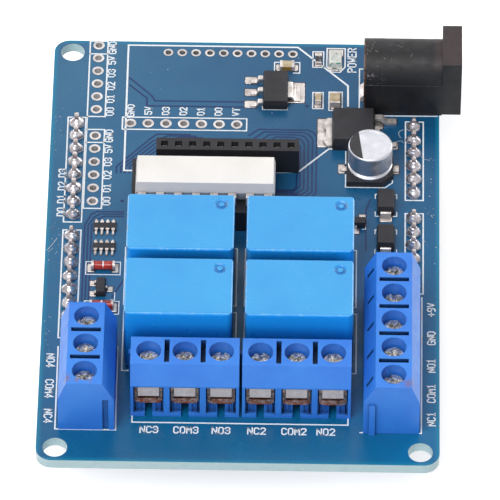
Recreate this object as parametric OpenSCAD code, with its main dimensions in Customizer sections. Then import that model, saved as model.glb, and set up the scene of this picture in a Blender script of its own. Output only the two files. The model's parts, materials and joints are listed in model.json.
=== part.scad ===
// Four-channel relay board that plugs on top of a controller board.
// Frame: +Z up, +Y to the rear edge, z = 0 at the tips of the header pins,
// x = y = 0 in the middle of the overall outline, jack flange included.

/* [Board] */
// Width of the circuit board
board_w = 55.6; // [55:0.1:70]
// Length of the circuit board
board_l = 79.8; // [79:0.1:100]
// Thickness of the circuit board
board_t = 1.6; // [1.2:0.1:2.4]
// Corner radius of the circuit board
board_corner_r = 2.2; // [0.5:0.1:4]
// Diameter of the fixing holes
fix_hole_d = 3.4; // [2.6:0.1:3.8]
// Fixing hole centre from the side edge
fix_inset_x = 2.65; // [2.4:0.05:4]
// Fixing hole centre from the front or rear edge
fix_inset_y = 2.35; // [2.3:0.05:4]
// Thickness of the metal of a plated hole's rings
ring_t = 0.05; // [0.03:0.01:0.1]

/* [Pin headers] */
// Pitch of the header pins
pin_pitch = 2.54; // [2:0.01:3.1]
// Side of the square header pins
pin_side = 0.64; // [0.5:0.01:0.7]
// Length of the pins below the plastic strip
pin_below = 6; // [4:0.1:12]
// Length of the pins above the board
pin_above = 2.2; // [1.8:0.1:3]
// Height of the plastic strips
strip_h = 2.54; // [2:0.01:9]
// Width of the plastic strips
strip_w = 2.5; // [2:0.01:2.54]
// Diameter of the holes for header pins
pin_hole_d = 1.0; // [0.95:0.01:1.2]
// Distance between the left and the right pin column
header_span = 48.26; // [48:0.01:52]
// First pins of both columns, behind the board's middle
header_first_y = 23.4; // [20:0.1:24]
// Step from one group to the next in the left column
left_group_step = 4.064; // [3:0.001:6]
// Step from one group to the next in the right column
right_group_step = 5.08; // [4:0.01:6]
// Radius of a solder cone on a header pin
cone_r = 0.92; // [0.8:0.01:1.1]
// Height of a solder cone on a header pin
cone_h = 1.5; // [0.5:0.05:1.6]

/* [Bare plated holes] */
// Drilled diameter of the port holes
port_drill_d = 1.1; // [0.8:0.05:1.2]
// Outer diameter of the rings of the port holes
port_ring_d = 1.65; // [1.4:0.05:2]
// Drilled diameter of the radio module's holes
radio_drill_d = 0.95; // [0.7:0.05:1]
// Outer diameter of the rings of the radio module's holes
radio_ring_d = 1.4; // [1.1:0.05:1.6]
// Wall of the plated tubes
tube_wall = 0.05; // [0.04:0.01:0.1]
// Port columns, left of the board's middle
port_x = 21.42; // [21:0.01:22]
// Middle of the rear port column, behind the board's middle
port_rear_y = 32.62; // [32:0.01:33]
// Middle of the front port column, behind the board's middle
port_front_y = 14.76; // [14:0.01:15.5]
// Middle of the seven-hole row, left of the board's middle
row7_x = 8.83; // [8:0.01:10]
// Seven-hole row, behind the board's middle
row7_y = 23.68; // [23:0.01:24.5]

/* [Radio socket] */
// Pitch of the radio module's pins
radio_pitch = 2.0; // [1.6:0.01:2.4]
// Middle of the radio module's rows, left of the board's middle
radio_x = 2.35; // [1:0.01:3]
// Radio socket, behind the board's middle
radio_y = 15.55; // [15.4:0.05:16.5]
// Distance between the two rows of the radio module
radio_span = 22.2; // [21.5:0.1:23]
// Depth of the radio socket's body
radio_d = 2.25; // [2:0.05:2.8]
// Height of the radio socket's body
radio_h = 4.6; // [3.4:0.1:6]
// Side of its square entries
radio_entry = 1.0; // [0.85:0.05:1.1]

/* [Isolator and its socket] */
// Length of the isolator's body
iso_l = 19.7; // [17:0.1:20]
// Width of the isolator's body
iso_w = 6.1; // [5.5:0.1:6.8]
// Thickness of the isolator's body
iso_t = 3.1; // [2.6:0.1:3.6]
// Distance between the isolator's two lead rows
iso_span = 7.62; // [7.4:0.01:8]
// Pitch of the isolator's leads
iso_pitch = 2.54; // [2.1:0.01:2.54]
// Width of the socket's body
socket_w = 10.1; // [9.8:0.1:10.4]
// Height of the socket's body
socket_h = 3.9; // [3.2:0.1:4.6]
// How far the socket's body reaches further left than right of its pins
socket_shift = 0.3; // [0:0.05:0.4]
// Isolator, left of the board's middle
iso_x = 5.35; // [4.5:0.05:6]
// Isolator, behind the board's middle
iso_y = 8.15; // [7.6:0.05:8.6]

/* [Relays] */
// Length of a relay
relay_l = 15.0; // [13:0.1:18.6]
// Width of a relay
relay_w = 10.4; // [8.6:0.1:12.5]
// Height of a relay
relay_h = 11.8; // [9:0.1:16]
// Radius of the edges around a relay's top
relay_r = 0.35; // [0.2:0.05:0.6]
// Radius of a relay's upright edges
relay_corner_r = 0.8; // [0.6:0.05:1.2]
// Gap between relays side by side
relay_gap_x = 1.7; // [0.5:0.05:2]
// Middle of the four relays, right of the board's middle
relay_mid_x = -0.17; // [-0.5:0.01:0.5]
// Gap between the two rows of relays
relay_gap_y = 1.6; // [0.8:0.1:3]
// Rear side of the relays, in front of the board's middle
relay_rear_y = 0.7; // [0.5:0.05:1.5]

/* [Screw terminals] */
// Pitch of the poles
pole_pitch = 5.0; // [4.6:0.01:6]
// Depth of a housing from its wire side to its back
block_d = 7.75; // [7.4:0.05:9]
// Height of a housing
block_h = 9.6; // [9.2:0.1:11.5]
// Height at which the housing's sides begin to slope
shoulder_h = 6.3; // [6:0.1:7]
// Run of the slope on the wire side
slope_front = 1.18; // [0.6:0.02:1.4]
// Run of the slope on the back
slope_back = 1.6; // [1.2:0.05:2.2]
// Wall between two poles
pole_wall = 0.85; // [0.8:0.05:1.2]
// Diameter of the screw wells
well_d = 3.45; // [3.2:0.05:3.6]
// Depth of the screw heads below the top
screw_sink = 1.7; // [1:0.1:2]
// Diameter of the screw heads
screw_head_d = 2.8; // [2.6:0.05:3.2]
// Width of the slots between the poles
pole_slot_w = 0.7; // [0.5:0.05:0.8]
// Length of the slots between the poles
pole_slot_l = 4.1; // [3:0.1:4.5]
// Depth of the slots between the poles
pole_slot_d = 2.2; // [1:0.1:2.3]
// Gap between two housings side by side, bridged by a dovetail rib
block_gap = 0.4; // [0.3:0.05:0.6]
// Clearance of a cage in its housing
cage_fit = 0.15; // [0.1:0.01:0.2]
// Wall of a cage
cage_wall = 0.4; // [0.35:0.05:0.5]
// Clearance of a contact in its cage
contact_fit = 0.05; // [0.03:0.01:0.1]
// Height of a cage's underside above the board
cage_z = 2.6; // [2.3:0.05:3.2]
// Gap between the relays and the housings in front of them
front_row_gap = 0.8; // [0.5:0.05:2]
// Middle of the front row of housings, right of the board's middle
front_row_x = 0.3; // [-0.5:0.05:0.5]
// Gap beside the relays up to the housings on the sides
side_gap = 1.2; // [0.5:0.05:3]
// Gap between a pin header and the housing in line with it
header_block_gap = 0.85; // [0.5:0.05:3]

/* [Power jack] */
// Width of the jack
jack_w = 8.0; // [7.6:0.1:9.5]
// Length of the jack's body behind its flange
jack_l = 11.2; // [10:0.1:13]
// Thickness of the flange
jack_flange_t = 2.75; // [1.5:0.05:4]
// Height of the flange
jack_flange_h = 10.5; // [10.3:0.1:12]
// Height of the barrel's axis above the board
jack_axis_z = 6.05; // [5.9:0.05:7]
// Diameter of the bore for the plug
jack_bore_d = 6.3; // [5.5:0.05:6.4]
// Diameter of the centre pin
jack_pin_d = 2.0; // [1.6:0.05:2.5]
// Gap between the board's edge and the flange
jack_edge_gap = 0.3; // [0.1:0.05:1]
// Axis of the jack, behind the board's middle
jack_y = 30.03; // [29:0.01:30.5]

/* [Capacitor] */
// Diameter of the capacitor's can
can_d = 6.3; // [5.2:0.1:6.6]
// Height of the capacitor
can_h = 5.4; // [4.4:0.1:8]
// Side of the capacitor's base
can_base = 6.6; // [6.3:0.1:7]

/* [Hidden] */

cut = 0.05;              // how far a cutter reaches past a face
round_fn = 48;

board_top = pin_below + strip_h + board_t;
board_bottom = board_top - board_t;
jack_x1 = board_w/2 + jack_edge_gap;                 // where the flange begins
jack_x0 = jack_x1 - jack_l;                          // rear wall of the jack
mid_x = -(jack_x1 + jack_flange_t - board_w/2)/2;    // board's middle in the part's frame

relay_pitch_x = relay_l + relay_gap_x;
relay_pitch_y = relay_w + relay_gap_y;
relay_field_x = relay_l + relay_gap_x/2;             // half the width of the four relays
relay_left_x = relay_mid_x - relay_field_x;
relay_right_x = relay_mid_x + relay_field_x;
relay_centres = [
  for (row = [0, 1]) for (side = [-1, 1])
    [relay_mid_x + side*relay_pitch_x/2, -relay_rear_y - relay_w/2 - row*relay_pitch_y]
];
relay_front_y = -relay_rear_y - relay_w - relay_pitch_y;
relay_lift = 0.3;                                    // case above the board, on its ledges
relay_pin_x = [-0.41*relay_l, -0.245*relay_l, 0.41*relay_l];
relay_pin_y = [-0.366*relay_w, 0.366*relay_w];
relay_pin_spots = [for (x = relay_pin_x) for (y = relay_pin_y) [x, y]];

// Free board between the relays and the header pins, with the line of the small parts in it.
left_lane_w = header_span/2 - cone_r + relay_left_x;
right_lane_w = header_span/2 - cone_r - relay_right_x;
left_lane_share = 0.484;
right_lane_share = 0.6;
left_lane_x = relay_left_x - left_lane_share*left_lane_w;
right_lane_x = relay_right_x + right_lane_share*right_lane_w;

function column(x, first_y, n, pitch) = [for (i = [0:n-1]) [x, first_y - i*pitch]];
function line_of(x, y, n, pitch) = [for (i = [0:n-1]) [x + (i - (n-1)/2)*pitch, y]];

left_x = -header_span/2;
right_x = header_span/2;
left_front_y = header_first_y - 7*pin_pitch - left_group_step;
right_front_y = header_first_y - 5*pin_pitch - right_group_step;
pins_left_rear = column(left_x, header_first_y, 8, pin_pitch);
pins_left_front = column(left_x, left_front_y, 8, pin_pitch);
pins_right_rear = column(right_x, header_first_y, 6, pin_pitch);
pins_right_front = column(right_x, right_front_y, 6, pin_pitch);
header_pins = concat(pins_left_rear, pins_left_front, pins_right_rear, pins_right_front);

port_holes = concat(
  column(-port_x, port_rear_y + 2.5*pin_pitch, 6, pin_pitch),
  column(-port_x, port_front_y + 2.5*pin_pitch, 6, pin_pitch),
  line_of(-row7_x, row7_y, 7, pin_pitch));
radio_pins = line_of(-radio_x, radio_y, 10, radio_pitch);
radio_holes = line_of(-radio_x, radio_y + radio_span, 10, radio_pitch);
iso_pins = concat(
  line_of(-iso_x, iso_y - iso_span/2, 8, iso_pitch),
  line_of(-iso_x, iso_y + iso_span/2, 8, iso_pitch));
fix_holes = [
  [-board_w/2 + fix_inset_x, board_l/2 - fix_inset_y],
  [-board_w/2 + fix_inset_x, -board_l/2 + fix_inset_y],
  [board_w/2 - fix_inset_x, -board_l/2 + fix_inset_y]
];

// Housings: place of the middle of the wire side, direction of the wires and number of poles.
left_block_shift = 0.95;                             // the left block stands further forward by this
right_block_shift = 0.17;                            // and the right block further out by this
block_3_l = 3*pole_pitch;
block_5_l = 5*pole_pitch;
front_y = relay_front_y - front_row_gap - block_d;
front_half = block_3_l + block_gap/2 + abs(front_row_x);
side_x = max(relay_field_x, front_half) + side_gap + block_d;
left_block_y = left_front_y - 7*pin_pitch - pin_pitch/2 - header_block_gap - block_3_l/2 - left_block_shift;
right_block_y = right_front_y - 5*pin_pitch - pin_pitch/2 - header_block_gap - block_5_l/2;
block_front_left = [front_row_x - (block_3_l + block_gap)/2, front_y, 0, 3];
block_front_right = [front_row_x + (block_3_l + block_gap)/2, front_y, 0, 3];
block_left = [-side_x, left_block_y, -90, 3];
block_right = [side_x + right_block_shift, right_block_y, 90, 5];

cavity_w = pole_pitch - pole_wall;
cavity_d = 6.1;
entry_top = shoulder_h - 0.25;                       // upper edge of the wire entries
floor_t = 0.7;                                       // ledge under the wire entries
block_floor_h = cage_z - 0.05;                       // solid part under the cages
pole_mid_y = slope_front + (block_d - slope_front - slope_back)/2;
rib_y = block_d - 1.2;
screw_head_h = 0.7;
head_gap = 0.1;                                      // between a screw head and its cage
ceiling_gap = 0.05;                                  // between a cage and the housing above it
cage_w = cavity_w - 2*cage_fit;
cage_d = 4.95;
cage_y = 0.2;
cage_h = block_h - screw_sink - screw_head_h - head_gap - cage_z;
cage_floor = 0.9;                                    // thick bottom and top of a cage
upper_room_y = 0.65;                                 // the housing's front wall above the entries ends here
cage_step_y = upper_room_y + 0.1;                    // the upper part of a cage begins behind that wall
cavity_top = cage_z + cage_h + ceiling_gap;
contact_w = cage_w - 2*cage_wall - 2*contact_fit;
contact_t = 0.5;
contact_leg_y = 5.3;
contact_pin_w = 0.75;
leg_slot_w = 1.05;                                   // slot through which a contact's pin is pushed in
tail_below = 1.9;                                    // how far leads reach under the board
screw_shank_d = 2.4;
screw_fit = 0.03;
block_pin_hole_d = 1.3;

function pole_x(i, n) = (i - (n-1)/2)*pole_pitch;
function turned(p, a) = [p[0]*cos(a) - p[1]*sin(a), p[0]*sin(a) + p[1]*cos(a)];
function block_pins(b) = [
  for (i = [0:b[3]-1])
    [b[0], b[1]] + turned([pole_x(i, b[3]), contact_leg_y + contact_t/2], b[2])
];
all_block_pins = concat(
  block_pins(block_front_left), block_pins(block_front_right),
  block_pins(block_left), block_pins(block_right));
relay_pins_xy = [for (c = relay_centres) for (p = relay_pin_spots) c + p];

jack_tab_w = 2.6;
jack_tab_t = 0.5;
jack_spring_x = jack_x0 + 5.2;
jack_switch_x = jack_x0 + 2.6;
jack_switch_y = jack_y - jack_w/2 + 0.9;             // plane of the switch contact, inside the near side
jack_switch_top = 2.4;
slot_play = 0.3;                                     // slots in the board are longer than the tabs by this
jack_slots = [
  [jack_x0 - jack_tab_t/2, jack_y, jack_tab_t + slot_play, jack_tab_w + slot_play],
  [jack_spring_x + jack_tab_t/2, jack_y, jack_tab_t + slot_play, jack_tab_w + slot_play],
  [jack_switch_x, jack_switch_y, jack_tab_w + slot_play, jack_tab_t + slot_play]
];

module on_board(p = [0, 0]) {
  translate([mid_x + p[0], p[1], board_top]) children();
}

module at_block(b) {
  translate([mid_x + b[0], b[1], board_top]) rotate([0, 0, b[2]]) children();
}

module rounded_plate(w, l, r) {
  square([w - 2*r, l], center = true);
  square([w, l - 2*r], center = true);
  for (x = [-1, 1]) for (y = [-1, 1])
    translate([x*(w/2 - r), y*(l/2 - r)]) circle(r, $fn = round_fn);
}

// A box with rounded edges, from three crossing rounded bars.
module soft_box(w, l, h, r, upright_r = 0) {
  intersection() {
    linear_extrude(h) rounded_plate(w, l, max(r, upright_r));
    translate([0, 0, h/2]) rotate([90, 0, 0]) linear_extrude(l + 1, center = true) rounded_plate(w, h, r);
    translate([0, 0, h/2]) rotate([90, 0, 90]) linear_extrude(w + 1, center = true) rounded_plate(l, h, r);
  }
}

// A moulded body that is widest at the height of its leads, along one direction.
module draft_bar(w, h, belt, draft, l) {
  rotate([90, 0, 0]) linear_extrude(l, center = true) polygon([
    [-w/2 + draft*belt/h, 0], [w/2 - draft*belt/h, 0], [w/2, belt],
    [w/2 - draft, h], [-w/2 + draft, h], [-w/2, belt]
  ]);
}

module moulded_body(w, l, h, belt, draft, draft_l = 0) {
  intersection() {
    draft_bar(w, h, belt, draft, l + 1);
    rotate([0, 0, 90]) draft_bar(l, h, belt, max(draft, draft_l), w + 1);
  }
}

// A bent strip: its side view as a polygon in Y and Z, w wide along X.
module bent_strip(points, w) {
  rotate([90, 0, 90]) linear_extrude(w, center = true) polygon(points);
}

// ---------- board, plated holes, headers, solder ----------

module pcb() {
  color([0.12, 0.38, 0.55]) translate([mid_x, 0, board_bottom]) linear_extrude(board_t) difference() {
    rounded_plate(board_w, board_l, board_corner_r);
    for (p = fix_holes) translate(p) circle(d = fix_hole_d, $fn = round_fn);
    for (p = header_pins) translate(p) circle(d = pin_hole_d, $fn = 24);
    for (p = port_holes) translate(p) circle(d = port_drill_d, $fn = 24);
    for (p = concat(radio_holes, radio_pins, iso_pins)) translate(p) circle(d = radio_drill_d, $fn = 24);
    for (p = concat(all_block_pins, relay_pins_xy)) translate(p) circle(d = block_pin_hole_d, $fn = 24);
    for (s = jack_slots) translate([s[0], s[1]]) square([s[2], s[3]], center = true);
  }
}

module eyelet(drill_d, ring_d) {
  rotate_extrude($fn = 24) polygon([
    [drill_d/2 - tube_wall, -board_t - ring_t], [ring_d/2, -board_t - ring_t], [ring_d/2, -board_t],
    [drill_d/2, -board_t], [drill_d/2, 0], [ring_d/2, 0],
    [ring_d/2, ring_t], [drill_d/2 - tube_wall, ring_t]
  ]);
}

module hole_linings() {
  color([0.8, 0.8, 0.78]) {
    for (p = port_holes) on_board(p) eyelet(port_drill_d, port_ring_d);
    for (p = radio_holes) on_board(p) eyelet(radio_drill_d, radio_ring_d);
  }
}

module strip_outline(n) {
  c = 0.45;
  for (i = [0:n-1]) translate([0, -i*pin_pitch]) polygon([
    [-strip_w/2 + c, -pin_pitch/2], [strip_w/2 - c, -pin_pitch/2], [strip_w/2, -pin_pitch/2 + c],
    [strip_w/2, pin_pitch/2 - c], [strip_w/2 - c, pin_pitch/2], [-strip_w/2 + c, pin_pitch/2],
    [-strip_w/2, pin_pitch/2 - c], [-strip_w/2, -pin_pitch/2 + c]
  ]);
}

module header_strip(pins) {
  color([0.1, 0.1, 0.1]) translate([mid_x, 0, pin_below]) linear_extrude(strip_h) difference() {
    translate(pins[0]) strip_outline(len(pins));
    for (p = pins) translate(p) square(pin_side, center = true);
  }
}

module square_pin(h) {
  tip = 0.5;
  s = pin_side/2;
  outline = [[-s/2, 0], [s/2, 0], [s, tip], [s, h - tip/2], [s/2, h], [-s/2, h], [-s, h - tip/2], [-s, tip]];
  intersection() {
    rotate([90, 0, 0]) linear_extrude(pin_side, center = true) polygon(outline);
    rotate([90, 0, 90]) linear_extrude(pin_side, center = true) polygon(outline);
  }
}

module header_pins(pins) {
  color([0.75, 0.7, 0.6]) for (p = pins)
    translate([mid_x + p[0], p[1], 0]) square_pin(board_top + pin_above);
}

// A solder fillet: wide on the board and thin up the lead.
module solder_cone(r, h, lead) {
  steps = 4;
  rotate_extrude($fn = 24) polygon(concat([[0, 0]], [
    for (k = [0:steps]) [lead + (r - lead)*pow(1 - k/steps, 2), h*k/steps]
  ], [[0, h]]));
}

module header_solder() {
  color([0.78, 0.78, 0.8]) for (p = header_pins) on_board(p) difference() {
    solder_cone(cone_r, cone_h, pin_side*0.72);
    translate([0, 0, cone_h/2]) cube([pin_side, pin_side, cone_h + 2*cut], center = true);
  }
}

module under_cone(p, r, lead_w, lead_l) {
  translate([mid_x + p[0], p[1], board_bottom]) rotate([180, 0, 0]) difference() {
    solder_cone(r, 1.1, max(lead_w, lead_l)*0.72);
    translate([0, 0, 0.5]) cube([lead_w, lead_l, 1.3], center = true);
  }
}

module underside_solder() {
  color([0.78, 0.78, 0.8]) {
    for (p = relay_pins_xy) under_cone(p, 1.05, 0.8, 0.5);
    for (b = [block_front_left, block_front_right]) for (p = block_pins(b))
      under_cone(p, 1.15, contact_pin_w, contact_t);
    for (b = [block_left, block_right]) for (p = block_pins(b))
      under_cone(p, 1.15, contact_t, contact_pin_w);
    for (p = radio_pins) under_cone(p, 0.75, 0.5, 0.3);
    for (p = iso_pins) under_cone(p, 0.85, 0.5, 0.3);
    for (s = jack_slots) under_cone(s, 1.7, s[2] - slot_play, s[3] - slot_play);
  }
}

// ---------- sockets and the isolator ----------

module radio_socket_body() {
  color([0.13, 0.13, 0.14]) on_board([-radio_x, radio_y]) difference() {
    translate([0, 0, radio_h/2]) cube([10*radio_pitch + 0.3, radio_d, radio_h], center = true);
    for (i = [0:9]) translate([(i - 4.5)*radio_pitch, 0, radio_h/2])
      cube([radio_entry, radio_entry, radio_h + 2*cut], center = true);
  }
}

// Two leaves in an entry, joined by a foot with a tail through the board.
module fork_contact(w, top, gap) {
  leaf = 0.2;
  for (side = [-1, 1]) translate([0, side*(gap/2 + leaf/2), top/2 + 0.2])
    cube([w, leaf, top - 0.4], center = true);
  translate([0, 0, 0.35]) cube([w, gap + 2*leaf, 0.3], center = true);
  translate([0, 0, (0.5 - board_t - tail_below)/2]) cube([0.5, 0.3, board_t + tail_below + 0.5], center = true);
}

module radio_socket_contacts() {
  color([0.8, 0.75, 0.6]) for (p = radio_pins) on_board(p) fork_contact(0.7, radio_h - 0.8, 0.4);
}

module isolator_socket_body() {
  length = 8*iso_pitch;
  rail = socket_w/2 - 2.55;
  color([0.08, 0.08, 0.09]) on_board([-iso_x, iso_y]) difference() {
    translate([-socket_shift, 0, socket_h/2]) cube([length, socket_w, socket_h], center = true);
    for (side = [-1, 1]) translate([side*length/4, 0, socket_h/2])
      cube([length/2 - 3.2, 2*rail, socket_h + 2*cut], center = true);
    for (p = iso_pins) translate([p[0] + iso_x, p[1] - iso_y, socket_h/2])
      cube([1.2, 0.9, socket_h + 2*cut], center = true);
  }
}

module isolator_socket_contacts() {
  color([0.8, 0.75, 0.6]) for (p = iso_pins) on_board(p) fork_contact(0.9, socket_h - 0.5, 0.32);
}

iso_z = socket_h + 0.25;                             // underside of the isolator's body
iso_belt = iso_t*0.5;
iso_draft = 0.5;                                     // how far the long sides lean in towards the top
iso_end_draft = 0.22;
iso_shoulder_w = 1.15;

module isolator_body() {
  color([0.94, 0.93, 0.9]) on_board([-iso_x, iso_y]) translate([0, 0, iso_z]) intersection() {
    moulded_body(iso_l, iso_w, iso_t, iso_belt, iso_end_draft, iso_draft);
    soft_box(iso_l, iso_w, iso_t, 0.28);
  }
}

module isolator_lead() {
  t = 0.25;
  z1 = iso_belt + t/2;
  out = iso_span/2 + t/2;
  low = -iso_z + socket_h - 2.2;
  shoulder = [[iso_w/2 - 0.02, z1 - t], [out - t, z1 - t], [out - t, -0.2], [out, -0.2], [out, z1 - 0.1],
    [out - 0.1, z1], [iso_w/2 - 0.02, z1]];
  bent_strip(shoulder, iso_shoulder_w);
  translate([0, out - t/2, (low - 0.2)/2]) cube([0.5, t, -0.2 - low + 0.02], center = true);
}

module isolator_leads() {
  color([0.85, 0.85, 0.85]) on_board([-iso_x, iso_y]) translate([0, 0, iso_z])
    for (side = [0, 180]) rotate([0, 0, side]) for (i = [0:7])
      translate([(i - 3.5)*iso_pitch, 0, 0]) difference() {
        isolator_lead();
        moulded_body(iso_l + 20, iso_w, iso_t, iso_belt, iso_end_draft, iso_draft);
      }
}

// ---------- power jack ----------

jack_bore_depth = 9.6;
jack_channel_z = jack_axis_z - jack_bore_d/2 - 0.9;
jack_recess_top = 8;                                 // of the rear tab's recess

module jack_housing() {
  r = jack_w/2;
  color([0.12, 0.12, 0.13]) on_board([0, jack_y]) difference() {
    union() {
      translate([jack_x0, -r, 0]) cube([jack_l + cut, jack_w, jack_axis_z]);
      translate([jack_x0, 0, jack_axis_z]) rotate([0, 90, 0])
        cylinder(h = jack_l + cut, d = jack_w - 0.16, $fn = round_fn);
      translate([jack_x1, 0, 0]) rotate([90, 0, 90]) linear_extrude(jack_flange_t)
        translate([0, jack_flange_h/2]) rounded_plate(jack_w, jack_flange_h, 0.35);
    }
    translate([jack_x1 + jack_flange_t - jack_bore_depth, 0, jack_axis_z]) rotate([0, 90, 0])
      cylinder(h = jack_bore_depth + cut, d = jack_bore_d, $fn = round_fn);
    // mouth
    translate([jack_x1 + jack_flange_t - 0.5, 0, jack_axis_z]) rotate([0, 90, 0])
      cylinder(h = 0.6, d = jack_bore_d + 0.5, $fn = round_fn);
    // seat of the centre pin in the rear wall
    translate([jack_x0 - cut, 0, jack_axis_z]) rotate([0, 90, 0])
      cylinder(h = jack_l, d = jack_pin_d, $fn = round_fn);
    // recess of the rear tab
    translate([jack_x0 - cut, -jack_tab_w/2 - 0.1, -cut])
      cube([jack_tab_t + cut, jack_tab_w + 0.2, jack_recess_top + cut]);
    // channel of the spring under the bore, and the slot for its leg
    translate([jack_spring_x - 0.15, -jack_tab_w/2 - 0.15, jack_channel_z - 0.1])
      cube([jack_x1 + 1.3 - jack_spring_x, jack_tab_w + 0.3, 2.2]);
    translate([jack_spring_x - 0.15, -jack_tab_w/2 - 0.15, -cut])
      cube([jack_tab_t + 0.3, jack_tab_w + 0.3, jack_channel_z + 1]);
    // pocket of the switch contact, open below
    translate([jack_switch_x, jack_switch_y - jack_y, jack_switch_top/2])
      cube([jack_tab_w + 0.1, jack_tab_t + 0.1, jack_switch_top + 2*cut], center = true);
  }
}

// Centre pin with its riveted rear tab that kinks outwards at the board.
module jack_centre_pin() {
  pin_l = jack_l + jack_flange_t - 1.2;
  t = jack_tab_t;
  color([0.82, 0.82, 0.8]) on_board([0, jack_y]) {
    translate([jack_x0 + t, 0, jack_axis_z]) rotate([0, 90, 0])
      cylinder(h = pin_l - t - jack_pin_d/2, d = jack_pin_d, $fn = round_fn);
    translate([jack_x0 + pin_l - jack_pin_d/2, 0, jack_axis_z]) sphere(d = jack_pin_d, $fn = round_fn);
    rotate([90, 0, 0]) linear_extrude(jack_tab_w, center = true) polygon([
      [jack_x0 + t, jack_axis_z + 1.3], [jack_x0, jack_axis_z + 1.3], [jack_x0, 1.05], [jack_x0 - t, 0.55],
      [jack_x0 - t, -board_t - tail_below], [jack_x0, -board_t - tail_below],
      [jack_x0, 0.05], [jack_x0 + t, 0.65]
    ]);
  }
}

module jack_spring() {
  t = 0.4;
  z = jack_channel_z;
  x0 = jack_spring_x;
  x1 = jack_x1 + 0.9;
  color([0.82, 0.82, 0.8]) on_board([0, jack_y]) rotate([90, 0, 0])
    linear_extrude(jack_tab_w - 0.4, center = true) polygon([
      [x0 + jack_tab_t, -board_t - tail_below], [x0 + jack_tab_t, z], [x0 + 2, z],
      [x1 - 1.4, z + 1.2], [x1, z + 0.5], [x1, z + 0.9], [x1 - 1.4, z + 1.2 + t],
      [x0 + 2, z + t], [x0, z + t], [x0, -board_t - tail_below]
    ]);
}

module jack_switch_contact() {
  h = jack_switch_top + board_t + tail_below;
  color([0.82, 0.82, 0.8]) on_board([jack_switch_x, jack_switch_y])
    translate([0, 0, jack_switch_top - h/2]) cube([jack_tab_w, jack_tab_t, h], center = true);
}

// ---------- relays ----------

mark_inset = 1.85;                                   // middle of the mark from the relay's sides
mark_deep = 0.22;

// Round moulding mark near a corner of a relay's top: a dish with a boss in it.
module moulding_mark() {
  translate([0, 0, -mark_deep]) difference() {
    cylinder(h = mark_deep + cut, d1 = 1.5, d2 = 2.0, $fn = round_fn);
    translate([0, 0, -cut]) cylinder(h = mark_deep, d = 0.8, $fn = 24);
  }
}

module relay(i) {
  ledge_w = 0.8;
  color([0.25, 0.6, 0.92]) on_board(relay_centres[i]) {
    difference() {
      translate([0, 0, relay_lift])
        soft_box(relay_l, relay_w, relay_h - relay_lift, relay_r, relay_corner_r);
      translate([relay_l/2 - mark_inset, relay_w/2 - mark_inset, relay_h]) moulding_mark();
    }
    // standing ledges under the case
    for (side = [-1, 1]) translate([side*(relay_l/2 - 1.1), 0, ledge_w/2])
      cube([ledge_w, relay_w - 4.2, ledge_w], center = true);
  }
}

module relay_pins() {
  color([0.8, 0.8, 0.8]) for (p = relay_pins_xy) on_board(p)
    translate([0, 0, (relay_lift - board_t - tail_below)/2])
      cube([0.8, 0.5, relay_lift + board_t + tail_below], center = true);
}

// ---------- screw terminals ----------
// Each block is drawn with its wire side on y = 0, wires coming from -Y, and its poles along X.

function block_profile() = [
  [0, 0], [block_d, 0], [block_d, shoulder_h], [block_d - slope_back, block_h],
  [slope_front, block_h], [0, shoulder_h]
];

module pole_cuts() {
  // room of the cage, open to the wires below the slope
  translate([-cavity_w/2, -cut, block_floor_h])
    cube([cavity_w, cavity_d + cut, entry_top - block_floor_h]);
  translate([-cavity_w/2, upper_room_y, entry_top - cut])
    cube([cavity_w, cavity_d - upper_room_y, cavity_top - entry_top + cut]);
  // recess under the cage, and the slot through which the contact is pushed in
  translate([-cavity_w/2, -cut, floor_t]) cube([cavity_w, 0.75, block_floor_h]);
  translate([-leg_slot_w/2, -cut, -cut]) cube([leg_slot_w, cavity_d + cut, block_floor_h + 2*cut]);
  // screw well
  translate([0, pole_mid_y, 0]) translate([0, 0, cavity_top - cut])
    cylinder(h = block_h - cavity_top + 2*cut, d = well_d, $fn = round_fn);
}

module pole_ribs() {
  for (x = [-1.65, -0.95, 0.95, 1.65]) translate([x, 0.72, floor_t - cut])
    linear_extrude(block_floor_h - floor_t + cut) polygon([[-0.22, 0], [0, -0.42], [0.22, 0]]);
}

// Narrow slit down the sloping back, over each pole.
module slope_slit() {
  translate([0, block_d - slope_back/2 - 0.1, (block_h + shoulder_h)/2])
    rotate([-atan2(block_h - shoulder_h, slope_back), 0, 0])
      cube([0.6, 2.1, 1.6], center = true);
}

module dovetail(w, d) {
  polygon([[-w/2, 0], [w/2, 0], [w/2 + d*0.35, -d], [-w/2 - d*0.35, -d]]);
}

module block_housing(b, slits = false) {
  n = b[3];
  l = n*pole_pitch;
  color([0.24, 0.5, 0.9]) at_block(b) {
    difference() {
      bent_strip(block_profile(), l);
      for (i = [0:n-1]) translate([pole_x(i, n), 0, 0]) {
        pole_cuts();
        if (slits) slope_slit();
      }
      for (i = [0:n-2]) translate([pole_x(i, n) + pole_pitch/2, pole_mid_y, block_h])
        cube([pole_slot_w, pole_slot_l, 2*pole_slot_d], center = true);
      // dovetail groove in the right end
      translate([l/2, rib_y, -cut]) linear_extrude(shoulder_h)
        rotate([0, 0, -90]) translate([0, cut]) dovetail(0.75, 0.5 + cut);
    }
    for (i = [0:n-1]) translate([pole_x(i, n), 0, 0]) pole_ribs();
    // dovetail rib on the left end
    translate([-l/2, rib_y, 0]) linear_extrude(shoulder_h - 0.2) rotate([0, 0, -90]) dovetail(0.62, block_gap - 0.02);
  }
}

module cage() {
  r = 0.8;
  rotate([90, 0, 0]) translate([0, 0, -cage_y - cage_d]) linear_extrude(cage_d) difference() {
    union() {
      translate([0, cage_h/2]) rounded_plate(cage_w, cage_h, r);
      translate([-cage_w/2, cage_h/2]) square([cage_w, cage_h/2]);
    }
    translate([0, cage_h/2])
      rounded_plate(cage_w - 2*cage_wall, cage_h - 2*cage_floor, r - cage_wall);
  }
}

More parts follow.
